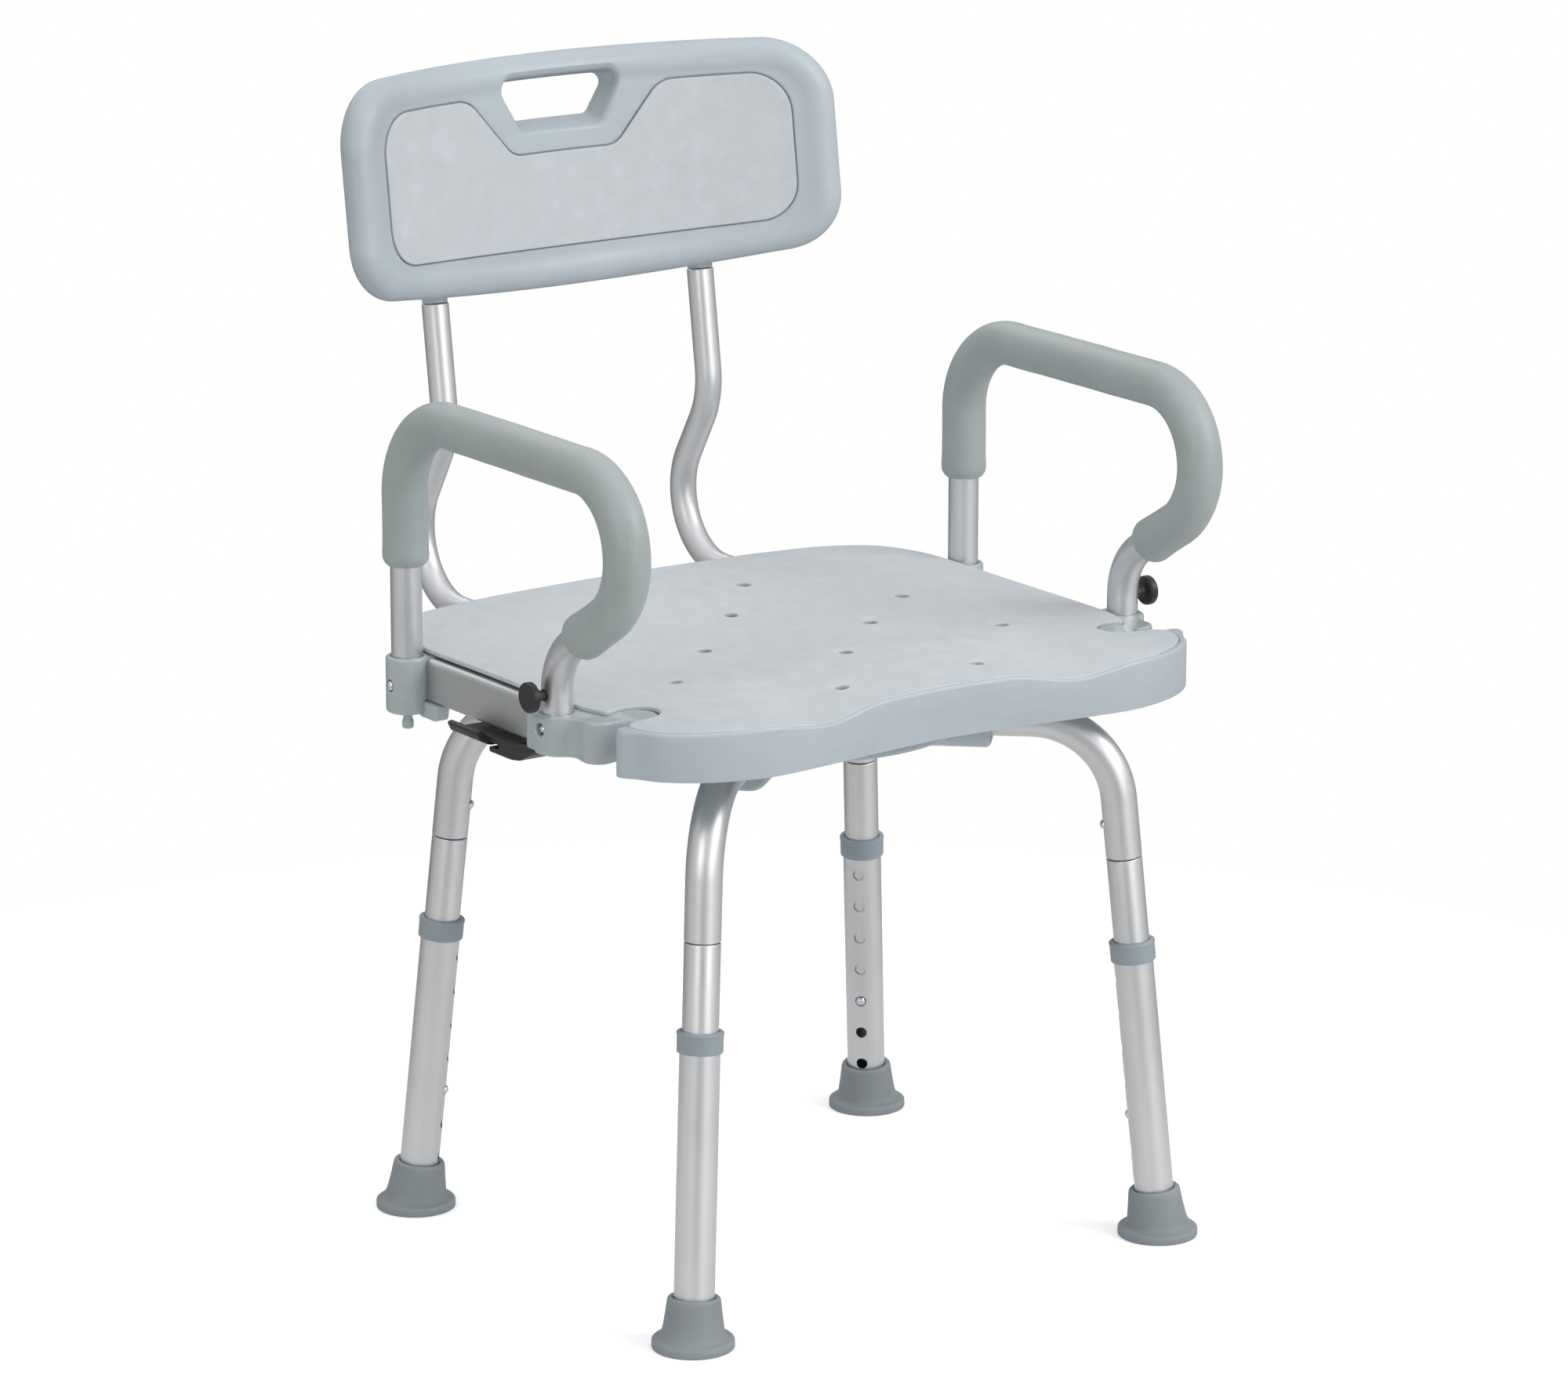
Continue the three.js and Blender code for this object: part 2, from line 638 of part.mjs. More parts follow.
// round-bottomed housing for one back tube
function backHousing(side) {
  const [x0, x1, low] = [side * BACK_X - 13, side * BACK_X + 13, 403.6];
  const profile = rounded([[x0, ABOVE], [x0, low, 10, 3], [x1, low, 10, 3], [x1, ABOVE]]);
  return solid(prismY(profile, BACK_FRONT - 5, 205));
}

// hub, ribs, wire block, back tube housings and lock pin guide
function seatUnderside() {
  return union(
    solid(ring(HUB_R - 4, HUB_R, WALL_LOW, ABOVE, 24)),
    solid(disc(HUB_R - 2, WALL_LOW, WALL_LOW + 3.5, 24)),
    ...RIBS.map((plan) => block(...plan, RIB_LOW, ABOVE)),
    block(-209, -199, LEVER_Y - 8, LEVER_Y + 8, 387.6, 415),
    backHousing(-1),
    backHousing(1),
    solid(discAt(LOCK_X, LOCK_Y, 8, 411, ABOVE, 12)),
  );
}

// bore for one back tube, and the hole for its button
function backBores(side) {
  const x = side * BACK_X;
  const start = vec(x, BACK_FRONT - END_GAP, BACK_Z);
  return [
    rod(start, vec(x, 260, BACK_Z), BACK_R + BORE_GAP, 12),
    rod(vec(x, BACK_BUTTON_Y, 398), vec(x, BACK_BUTTON_Y, BACK_Z), HOLE_R, HOLE_N),
  ];
}

function seatBody() {
  const blank = solid(prism(bodyOutline(0), WALL_LOW, ABOVE)).intersect(underSeat(-GAP));
  const pocketFloor = -PAD_T - GAP;
  const padPocket = solid(prism(padOutline(0.5), BELOW, ABOVE)).subtract(underSeat(pocketFloor));
  const hollow = solid(prism(bodyOutline(3), WALL_LOW - 5, ABOVE))
    .intersect(underSeat(pocketFloor - SHELL_T));
  const shell = cut(blank, padPocket, hollow);
  const room = bracketRoom();
  return geometryOf(cut(
    shell.add(seatUnderside().intersect(underSeat(-PAD_T - 1.2))),
    ...backBores(-1),
    ...backBores(1),
    solid(discAt(LOCK_X, LOCK_Y, PIN_R + 0.7, BELOW, 424, 12)),
    rod(vec(-260, LEVER_Y, LEVER_Z), vec(-150, LEVER_Y, LEVER_Z), WIRE_R + 0.7, 10),
    solid(disc(5.7, BELOW, 420, 12)),
    ...drains(),
    solid(room),
    solid(mirrored(room)),
  ));
}

// hollow rail with rounded upper edges
function sideRail() {
  const outer = rounded([
    [RAIL_IN, RAIL_LOW, 1.5, 1], [RAIL_OUT, RAIL_LOW, 1.5, 1],
    [RAIL_OUT, RAIL_HIGH, 4, 3], [RAIL_IN, RAIL_HIGH, 2, 1],
  ]);
  const wall = 2;
  const topWall = 3;
  const inner = [
    [RAIL_IN + wall, RAIL_HIGH - topWall], [RAIL_OUT - wall, RAIL_HIGH - topWall],
    [RAIL_OUT - wall, RAIL_LOW + wall], [RAIL_IN + wall, RAIL_LOW + wall],
  ];
  return geometryOf(solid(prismY(outer, RAIL_FRONT, RAIL_REAR, [inner])));
}

// -------------------------------------------------------------- arm brackets
// block that fills the inside of a rail end
const railPlug = (y0, y1) =>
  block(RAIL_IN + 2.5, RAIL_OUT - 2.5, y0, y1, RAIL_LOW + 2.5, RAIL_HIGH - 3.5);

const padNotch = () => solid(prism(padOutline(0.6), PAD_NOTCH_Z, ABOVE));

const postBore = (y, end) =>
  rod(vec(ARM_X, y, end), vec(ARM_X, y, ABOVE), ARM_R + BORE_GAP, 12);

// cutter through the outer side of an arm post or bracket
const armHole = (y, z, r = HOLE_R, n = HOLE_N) =>
  rod(vec(ARM_X + 2, y, z), vec(ARM_X + 30, y, z), r, n);

// socket for the post, joined by a bent neck to a round tongue
function frontArmBracket() {
  const socket = [401.5, 430];
  const neck = [400, 429];
  const tongue = [410, 431.5];
  const flank = rounded([
    [212, -58.2], [212, POST_FRONT], [SOCKET_FACE, POST_FRONT], [SOCKET_FACE, -58.2, 2.5, 2],
  ]);
  return geometryOf(cut(
    union(
      pillar(ARM_X, POST_FRONT, 15.2, socket),
      pillar(229, -106.5, 11, neck),
      pillar(205, -117, 15.2, tongue, 18),
      link(226, -108, 206, -117, 11.5, tongue),
      link(237, -78, 229, -106.5, 8.6, neck),
      solid(prism(flank, ...socket)),
      railPlug(-62, -38),
    ),
    block(SOCKET_FACE, 280, -120, -40, BELOW, ABOVE),
    padNotch(),
    postBore(POST_FRONT, FRONT_POST_END - END_GAP),
    armHole(POST_FRONT, FRONT_BUTTON_Z, 5, 10),
  ));
}

function rearArmBracket() {
  const [low, high, chamfer] = [389, 429, 1.5];
  const socket = turned([
    [0, low], [SOCKET_R - chamfer, low], [SOCKET_R, low + chamfer],
    [SOCKET_R, high - chamfer], [SOCKET_R - chamfer, high], [0, high],
  ], 14);
  socket.translate(ARM_X, POST_REAR, 0);
  // block under the rear end of the rail, profile [y, z]
  const lug = rounded([
    [82, 397.4], [84, 386.5, 4, 2], [108, 386.5, 6, 2], [112, 402], [104, 402], [104, 397.4],
  ]);
  return geometryOf(cut(
    union(
      solid(socket),
      block(212, ARM_X, RAIL_REAR + END_GAP, 118, 399, 428.6),
      railPlug(84, RAIL_REAR + 2),
      solid(prismX(lug, 227, 236)),
      block(ARM_X - 4, ARM_X + 4, POST_REAR - 4, POST_REAR + 4, 376, 392),
    ),
    padNotch(),
    postBore(POST_REAR, REAR_POST_END - GAP),
    armHole(POST_REAR, REAR_BUTTON_Z),
  ));
}

// ---------------------------------------------------------------------- arms
// Centre line of the arm in (y, z), from the rear post forwards and down to the
// front post, or only the part that carries the foam pad.
function armTrack(padOnly) {
  const frontBendZ = ARM_TOP - FRONT_BEND;
  const track = new Track((u, v) => vec(ARM_X, u, v))
    .station(POST_REAR, padOnly ? ARM_PAD_LOW : REAR_POST_END, 0, 1)
    .station(POST_REAR, ARM_TOP - REAR_BEND, 0, 1)
    .arc(POST_REAR - REAR_BEND, ARM_TOP - REAR_BEND, REAR_BEND, 0, 90, 5)
    .station(FRONT_BEND_Y, ARM_TOP, -1, 0)
    .arc(FRONT_BEND_Y, frontBendZ, FRONT_BEND, 90, FRONT_BEND_END, 8);

  // straight run back towards the front post
  const [cos, sin] = polar(1, rad(FRONT_BEND_END));
  const run = [-sin, cos];
  const runStart = [FRONT_BEND_Y + FRONT_BEND * cos, frontBendZ + FRONT_BEND * sin];

  // the lower bend turns to vertical at y = POST_FRONT
  const right = [run[1], -run[0]]; // to the right of travel
  const length = (POST_FRONT - LOWER_BEND - runStart[0] - LOWER_BEND * right[0]) / run[0];
  const bend = [runStart[0] + run[0] * length, runStart[1] + run[1] * length];
  const trim = padOnly ? ARM_PAD_TRIM : 0;
  track.station(bend[0] - run[0] * trim, bend[1] - run[1] * trim, ...run);
  if (padOnly) return track;

  const centre = [bend[0] + LOWER_BEND * right[0], bend[1] + LOWER_BEND * right[1]];
  const startAngle = THREE.MathUtils.radToDeg(Math.atan2(-right[1], -right[0]));
  return track.arc(...centre, LOWER_BEND, startAngle, 0, 4)
    .station(POST_FRONT, FRONT_POST_END, 0, -1);
}

const armTube = () => geometryOf(cut(
  tubeAlong(armTrack(false), ARM_R, ARM_R - ARM_WALL, 10, 8),
  armHole(POST_REAR, REAR_BUTTON_Z),
  armHole(POST_FRONT, FRONT_BUTTON_Z),
  armHole(POST_FRONT, KNOB_Z),
));

const armPad = () => geometryOf(tubeAlong(armTrack(true), ARM_PAD_R, ARM_R + 0.55, 10));

// button in the right arm, pointing outwards
function armButton(tip, length, y, z) {
  const geometry = button(tip, length);
  geometry.rotateZ(Math.PI);
  geometry.translate(ARM_X, y, z);
  return geometry;
}

function armReleaseKnob() {
  const geometry = turned([
    [0, 7.5], [3.7, 7.5], [3.7, 18.6], [8.5, 18.6], [10.5, 19.6], [10.5, 24], [9.5, 25], [0, 25],
  ], 12);
  geometry.rotateY(Math.PI / 2);
  geometry.translate(ARM_X, POST_FRONT, KNOB_Z);
  return geometry;
}

// ---------------------------------------------------------------------- back
const backTopDirection = [Math.sin(rad(REAR_LEAN)), Math.cos(rad(REAR_LEAN))];

// from the seat rearwards, up, leaning forwards, then back along the panel
function backTrack() {
  const bendZ = BACK_Z + BACK_BEND;
  const [cos, sin] = polar(1, rad(FORWARD_LEAN));
  const bendEnd = [BACK_BEND_Y + BACK_BEND * cos, bendZ + BACK_BEND * sin];
  const lower = [-sin, cos];
  const upper = backTopDirection;
  // the straights below and above the upper bend would meet in a corner
  const cross = lower[0] * upper[1] - lower[1] * upper[0];
  const [dy, dz] = [BACK_TOP[0] - bendEnd[0], BACK_TOP[1] - bendEnd[1]];
  const toCorner = (dy * upper[1] - dz * upper[0]) / cross;
  const toBend = toCorner - BACK_TOP_BEND * Math.tan(rad(FORWARD_LEAN + REAR_LEAN) / 2);
  const start = [bendEnd[0] + lower[0] * toBend, bendEnd[1] + lower[1] * toBend];
  const centre = [start[0] + lower[1] * BACK_TOP_BEND, start[1] - lower[0] * BACK_TOP_BEND];
  return new Track((u, v) => vec(BACK_X, u, v))
    .station(BACK_FRONT, BACK_Z, 1, 0)
    .station(BACK_BEND_Y, BACK_Z, 1, 0)
    .arc(BACK_BEND_Y, bendZ, BACK_BEND, -90, FORWARD_LEAN, 7)
    .station(...start, ...lower)
    .arc(...centre, BACK_TOP_BEND, 180 + FORWARD_LEAN, 180 - REAR_LEAN, 3)
    .station(...BACK_TOP, ...upper);
}

function backTube() {
  const hole = rod(vec(BACK_X, BACK_BUTTON_Y, 390), vec(BACK_X, BACK_BUTTON_Y, BACK_Z - 2),
    HOLE_R, HOLE_N);
  return geometryOf(cut(tubeAlong(backTrack(), BACK_R, BACK_R - BACK_WALL, 10, 8), hole));
}

function backButton() {
  const geometry = turned([[0, 404.2], [BUTTON_R, 405.9], [BUTTON_R, 413.4], [0, 413.4]], 8);
  geometry.translate(BACK_X, BACK_BUTTON_Y, 0);
  return geometry;
}

// curved, leaning slab between two offsets from the middle surface, + to the rear
function panelSlab(front, rear) {
  const steps = 12;
  const halfWidth = 225;
  const edge = (offset) => Array.from({ length: steps + 1 }, (_, i) => {
    const x = -halfWidth + (2 * halfWidth * i) / steps;
    return [x, PANEL_Y - PANEL_RHO + Math.sqrt((PANEL_RHO + offset) ** 2 - x * x)];
  });
  const geometry = prism([...edge(front), ...edge(rear).reverse()], 600, 850);
  geometry.applyMatrix4(new THREE.Matrix4().set(
    1, 0, 0, 0,
    0, 1, PANEL_LEAN, -PANEL_LEAN * PANEL_REF,
    0, 0, 1, 0,
    0, 0, 0, 1,
  ));
  return solid(geometry);
}

// [x, z, radius, segments] outlines of the panel, its hand hole and its pad
const PANEL_OUTLINE = [
  [-208.5, 655.5, 42, 7], [-140, 645.9], [-95, 641.2], [-48, 638.1], [0, 637.1],
  [48, 638.1], [95, 641.2], [140, 645.9], [208.5, 655.5, 42, 7],
  [208.5, 804.8, 46, 7], [-208.5, 804.8, 46, 7],
];
const HANDLE_OUTLINE = [
  [-34, 753, 8, 3], [34, 753, 8, 3], [55, 788.5, 8, 3], [-55, 788.5, 8, 3],
];
const backPadOutline = (grow) => [
  [-179 - grow, 676 - grow, 28, 4], [-90, 670 - grow], [0, 668 - grow], [90, 670 - grow],
  [179 + grow, 676 - grow, 28, 4], [179 + grow, 781 + grow, 28, 4],
  [84.5 - grow * 0.5, 779 + grow, 24, 3], [45.5 - grow * 0.5, 735 + grow, 20, 3],
  [-45.5 + grow * 0.5, 735 + grow, 20, 3], [-84.5 + grow * 0.5, 779 + grow, 24, 3],
  [-179 - grow, 781 + grow, 28, 4],
];
const throughPanel = (outline) => solid(prismY(rounded(outline), 180, 360));

// boss on the panel, with a shoulder and a peg in the top of the back tube
function panelMount(side) {
  const at = (distance) => vec(side * BACK_X, ...BACK_TOP)
    .addScaledVector(vec(0, ...backTopDirection), distance);
  return [
    rod(at(8), at(66), 14.2, 14),
    rod(at(GAP), at(12), 9.3, 12),
    rod(at(-PEG), at(6), BACK_R - BACK_WALL - 1.2, 8),
  ];
}

function backPanel() {
  const plate = panelSlab(-PANEL_HALF_T, PANEL_HALF_T).intersect(throughPanel(PANEL_OUTLINE));
  const padPocket = panelSlab(-PANEL_HALF_T - 6, -8.6)
    .intersect(throughPanel(backPadOutline(0.6)));
  const body = union(plate.subtract(padPocket), ...panelMount(-1), ...panelMount(1));
  return geometryOf(body.subtract(throughPanel(HANDLE_OUTLINE)));
}

const backPad = () => geometryOf(
  panelSlab(-PANEL_HALF_T - 0.8, -9).intersect(throughPanel(backPadOutline(0))));

// -------------------------------------------------------------- swivel lever
// hooked block under the left rail, [y, z]
const HOOK_PROFILE = [
  [8, 395], [-24, 395], [-38, 397.4], [-49.4, 397.4], [-44.6, 392.6], [-38.5, 388.6],
  [-31, 385.8], [-22, 384.8], [5.6, 384.8], [5.6, 388.4], [-6, 388.4], [-8.4, 390],
  [-6, 391.6], [8, 391.6],
];
// paddle reaching out to the left with an upturned edge, [x, z, radius, segments]
const PADDLE_PROFILE = [
  [-215, 389.8], [-243, 389, 12, 3], [-251, 393, 3, 2], [-254.5, 399.6, 1.5, 2],
  [-250, 400, 1.5, 2], [-244, 394.8, 5, 3], [-215, 394.8],
];
// slope under the rail, so that the lever can turn, [y, z]
const SLOPE_PROFILE = [[-60, 392], [-37, 397.5], [-37, 405], [-60, 405]];

const swivelLever = () => geometryOf(cut(
  union(
    solid(prismX(HOOK_PROFILE, LEVER_OUT, LEVER_IN)),
    solid(prismY(rounded(PADDLE_PROFILE), 5, 42)),
    block(LEVER_OUT, LEVER_IN, 2, 12, 391.6, 395),
  ),
  solid(prismX(SLOPE_PROFILE, -234.6, -215)),
  rod(vec(-236, LEVER_Y, LEVER_Z), vec(-200, LEVER_Y, LEVER_Z), WIRE_R + 0.5, 10),
));

// from the lever inwards, up, then rearwards to the lock pin
function leverWire() {
  const overlap = 1.8;
  const tip = LOCK_Y - PIN_R - 2.4;
  return geometryOf(union(
    rod(vec(-235, LEVER_Y, LEVER_Z), vec(LOCK_X, LEVER_Y, LEVER_Z), WIRE_R, 8),
    rod(vec(LOCK_X, LEVER_Y, LEVER_Z - overlap), vec(LOCK_X, LEVER_Y, WIRE_TOP + 2), WIRE_R, 8),
    rod(vec(LOCK_X, LEVER_Y - overlap, WIRE_TOP), vec(LOCK_X, tip, WIRE_TOP), WIRE_R, 8),
  ));
}

function lockPin() {
  const geometry = turned([
    [0, 390.1], [PIN_R - 0.8, 390.1], [PIN_R, 391], [PIN_R, 405.6], [7.4, 405.6],
    [7.4, 407.2], [PIN_R, 407.2], [PIN_R, 420], [0, 420],
  ], 12);
  geometry.translate(LOCK_X, LOCK_Y, 0);
  return geometry;
}

// ------------------------------------------------------------------ assembly
for (const [name, azimuth] of Object.entries(LEGS)) addLeg(name, azimuth);

add("base_plate", basePlate(), "plastic");
add("turntable_lower_ring", ring(RACE_IN, RACE_OUT, HUB_TOP + GAP, LOWER_RACE_TOP, 24), "steel");
add("turntable_bearing", ring(64, 82, LOWER_RACE_TOP + GAP, BEARING_TOP, 24), "black");
add("turntable_upper_ring", ring(RACE_IN, RACE_OUT, BEARING_TOP + GAP, WALL_LOW - GAP, 24), "steel");
add("centre_bolt", centreBolt(), "steel");

add("seat_pad", seatPad(), "pad");
add("seat_body", seatBody(), "plastic");
pair("side_rail", sideRail(), "rail");
pair("front_arm_bracket", frontArmBracket(), "plastic");
pair("rear_arm_bracket", rearArmBracket(), "plastic");

pair("arm_tube", armTube(), "tube");
pair("arm_pad", armPad(), "foam");
pair("arm_rear_button", armButton(SOCKET_R + 1.2, 9, POST_REAR, REAR_BUTTON_Z), "chrome");
pair("arm_front_button", armButton(14.6, 8.5, POST_FRONT, FRONT_BUTTON_Z), "chrome");
pair("arm_release_knob", armReleaseKnob(), "black");

pair("back_tube", backTube(), "tube");
pair("back_button", backButton(), "chrome");
add("back_panel", backPanel(), "plastic");
add("back_pad", backPad(), "pad");

add("swivel_lever", swivelLever(), "black");
add("lever_wire", leverWire(), "steel");
add("lock_pin", lockPin(), "steel");

export default group;
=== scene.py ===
"""Swivelling bath chair: fine surfaces, finishes, light and camera around the CAD frame.

Shapes are worked out in millimetres about the swivel axis: z up, front towards -y, x to the
right as seen from the front (the "right" and "left" of the names). finish_piece moves them
into the frame and scales them to metres. A part is (vertices, faces, uvs per face corner).
"""

import math
from contextlib import contextmanager

import bmesh
import bpy
import numpy as np
from mathutils import Matrix, Vector
from mathutils.geometry import tessellate_polygon


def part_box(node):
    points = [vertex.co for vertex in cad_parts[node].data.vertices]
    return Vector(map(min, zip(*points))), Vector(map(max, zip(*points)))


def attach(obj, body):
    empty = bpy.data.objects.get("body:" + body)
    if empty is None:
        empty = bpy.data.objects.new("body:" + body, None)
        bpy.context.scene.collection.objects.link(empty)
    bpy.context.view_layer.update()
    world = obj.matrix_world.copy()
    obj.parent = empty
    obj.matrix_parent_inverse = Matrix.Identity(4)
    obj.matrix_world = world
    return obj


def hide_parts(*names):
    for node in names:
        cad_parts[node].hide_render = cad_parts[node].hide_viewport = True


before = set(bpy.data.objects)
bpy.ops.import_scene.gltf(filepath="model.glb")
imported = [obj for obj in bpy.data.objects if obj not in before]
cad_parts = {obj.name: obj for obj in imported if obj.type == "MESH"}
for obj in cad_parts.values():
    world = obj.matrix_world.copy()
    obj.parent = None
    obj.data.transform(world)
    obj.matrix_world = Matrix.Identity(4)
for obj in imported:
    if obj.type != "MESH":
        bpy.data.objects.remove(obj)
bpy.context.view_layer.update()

MM = 0.001  # metres
bolt_low, bolt_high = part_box("centre_bolt")
AXIS_Y = (bolt_low.y + bolt_high.y) / 2 * 1000.0  # the swivel axis in the frame, mm


# ============================================================ vectors, matrices
def array(values):
    return np.asarray(values, float)


def unit(vector):
    vector = array(vector)
    return vector / max(np.linalg.norm(vector), 1e-12)


def angles(count):
    """Equal steps once round the circle, radians."""
    return [2 * math.pi * k / count for k in range(count)]


def quarter(count):
    """0 to 90 degrees in equal steps, radians."""
    return [math.radians(90 * k / count) for k in range(count + 1)]


def lengths(points):
    """Running length along a line of points."""
    steps = [np.linalg.norm(array(b) - array(a)) for a, b in zip(points[:-1], points[1:])]
    return np.cumsum([0.0] + steps)


def smoothstep(t):
    return t * t * (3 - 2 * t)


def shift(x, y, z):
    matrix = np.eye(4)
    matrix[:3, 3] = (x, y, z)
    return matrix


def turn_z(degrees):
    cos, sin = math.cos(math.radians(degrees)), math.sin(math.radians(degrees))
    matrix = np.eye(4)
    matrix[:2, :2] = [[cos, -sin], [sin, cos]]
    return matrix


def frame_to(origin, direction):
    """Matrix that sets local z along direction at origin."""
    z = unit(direction)
    x = unit(np.cross([0, 1, 0], z) if abs(z[1]) < 0.9 else np.cross([1, 0, 0], z))
    matrix = np.eye(4)
    matrix[:3, 0], matrix[:3, 1], matrix[:3, 2], matrix[:3, 3] = x, np.cross(z, x), z, origin
    return matrix


SIDES = (("right", np.eye(4)), ("left", np.diag([-1.0, 1.0, 1.0, 1.0])))


# ============================================================ parts and meshes
def moved(part, matrix):
    verts, faces, uvs = part
    verts = verts @ matrix[:3, :3].T + matrix[:3, 3]
    if np.linalg.det(matrix[:3, :3]) < 0:
        faces = [tuple(reversed(face)) for face in faces]
        uvs = [list(reversed(corners)) for corners in uvs]
    return verts, faces, uvs


def join(parts):
    all_faces, all_uvs, count = [], [], 0
    for verts, faces, uvs in parts:
        all_faces += [tuple(i + count for i in face) for face in faces]
        all_uvs += uvs
        count += len(verts)
    return np.vstack([part[0] for part in parts]), all_faces, all_uvs


def blank(faces):
    return [[(0.0, 0.0)] * len(face) for face in faces]


def link_object(name, data):
    obj = bpy.data.objects.new(name, data)
    bpy.context.scene.collection.objects.link(obj)
    return obj


def mesh_from(name, part):
    verts, faces, uvs = part
    mesh = bpy.data.meshes.new(name)
    mesh.from_pydata([tuple(p) for p in verts], [], faces)
    flat = [value for face in uvs for uv in face for value in uv]
    mesh.uv_layers.new(name="UVMap").data.foreach_set("uv", flat)
    mesh.update()
    return mesh


def take(mesh):
    """Read a mesh as a part, then remove it."""
    verts = np.array([v.co for v in mesh.vertices], float)
    faces = [tuple(p.vertices) for p in mesh.polygons]
    if mesh.uv_layers:
        layer = mesh.uv_layers[0].data
        uvs = [[tuple(layer[i].uv) for i in p.loop_indices] for p in mesh.polygons]
    else:
        uvs = blank(faces)
    bpy.data.meshes.remove(mesh)
    return verts, faces, uvs


@contextmanager
def editing(mesh):
    bm = bmesh.new()
    bm.from_mesh(mesh)
    yield bm
    bm.to_mesh(mesh)
    bm.free()


def evaluated(obj):
    bpy.context.view_layer.update()
    graph = bpy.context.evaluated_depsgraph_get()
    return bpy.data.meshes.new_from_object(obj.evaluated_get(graph))


def weld(part, dist=1e-4):
    """Merge doubled points and turn all faces outwards."""
    mesh = mesh_from("weld", part)
    with editing(mesh) as bm:
        bmesh.ops.remove_doubles(bm, verts=bm.verts, dist=dist)
        bmesh.ops.recalc_face_normals(bm, faces=bm.faces)
    return take(mesh)


def boolean(part, tools, operation="DIFFERENCE"):
    """Exact boolean of a part with each tool in turn."""
    work = link_object("work", mesh_from("work", part))
    helpers = [work]
    for tool in tools:
        helper = link_object("tool", mesh_from("tool", tool))
        helpers.append(helper)
        cut = work.modifiers.new("cut", "BOOLEAN")
        cut.operation, cut.solver, cut.object = operation, "EXACT", helper
    result = take(evaluated(work))
    for helper in helpers:
        mesh = helper.data
        bpy.data.objects.remove(helper)
        bpy.data.meshes.remove(mesh)
    return result


def grid_cut(part, xs=(), ys=()):
    """Split faces along planes, so that a flat cap can follow a curved surface."""
    mesh = mesh_from("grid", part)
    with editing(mesh) as bm:
        bmesh.ops.remove_doubles(bm, verts=bm.verts, dist=1e-4)
        many_sided = [face for face in bm.faces if len(face.verts) > 4]
        if many_sided:
            bmesh.ops.triangulate(bm, faces=many_sided)
        for normal, values in (((1, 0, 0), xs), ((0, 1, 0), ys)):
            for value in values:
                bmesh.ops.bisect_plane(
                    bm, geom=bm.verts[:] + bm.edges[:] + bm.faces[:], dist=1e-5,
                    plane_co=[n * value for n in normal], plane_no=normal)
    return take(mesh)


def finish_piece(name, part, material, body, node, slot, angle=38.0, bevel=None):
    """Make the object: edges over angle degrees stay sharp, or are bevelled (bevel in mm)."""
    verts, faces, uvs = part
    verts = verts.copy()
    verts[:, 1] += AXIS_Y
    mesh = mesh_from(name, (verts * MM, faces, uvs))
    with editing(mesh) as bm:
        bmesh.ops.remove_doubles(bm, verts=bm.verts, dist=1e-6)
        bmesh.ops.dissolve_degenerate(bm, edges=bm.edges, dist=1e-7)
    obj = link_object(name, mesh)
    mesh.polygons.foreach_set("use_smooth", [True] * len(mesh.polygons))
    if bevel:
        modifier = obj.modifiers.new("bevel", "BEVEL")
        modifier.width, modifier.segments, modifier.limit_method = bevel * MM, 3, "ANGLE"
        modifier.angle_limit = math.radians(38)
        modifier.harden_normals = False
        modifier.use_clamp_overlap = True
    else:
        mesh.set_sharp_from_angle(angle=math.radians(angle))
    mesh.materials.append(MATERIALS[material])
    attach(obj, body)
    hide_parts(node)


def finish_sides(pieces):
    """Finish all pieces on the right, then mirrored on the left; {} in a body is the side."""
    for side, matrix in SIDES:
        for name, part, material, body, node, slot, *angle in pieces:
            finish_piece(f"{name}_{side}", moved(part, matrix), material, body.format(side),
                         f"{node}_{side}", slot, *angle)


# ============================================================ outlines
def rounded(corners, closed=True):
    """Outline through corners (x, y[, radius[, segments]]), with arcs at the corners."""
    out = []
    count = len(corners)
    for i, (x, y, *arc) in enumerate(corners):
        radius = arc[0] if arc else 0
        segments = arc[1] if len(arc) > 1 else 6
        if not radius or (not closed and i in (0, count - 1)):
            out.append((x, y))
            continue
        corner = array([x, y])
        before = unit(array(corners[i - 1][:2]) - corner)
        after = unit(array(corners[(i + 1) % count][:2]) - corner)
        half = math.acos(max(-1, min(1, float(before @ after)))) / 2
        reach = radius / math.tan(half)
        centre = corner + unit(before + after) * radius / math.sin(half)
        start, end = corner + before * reach - centre, corner + after * reach - centre
        first = math.atan2(start[1], start[0])
        sweep = math.atan2(end[1], end[0]) - first
        sweep = (sweep + math.pi) % (2 * math.pi) - math.pi
        for k in range(segments + 1):
            angle = first + sweep * k / segments
            out.append((centre[0] + radius * math.cos(angle),
                        centre[1] + radius * math.sin(angle)))
    return out


def rectangle(x0, x1, y0, y1, *arc):
    """Corners for rounded; arc is (radius, segments)."""
    return [(x0, y0, *arc), (x1, y0, *arc), (x1, y1, *arc), (x0, y1, *arc)]


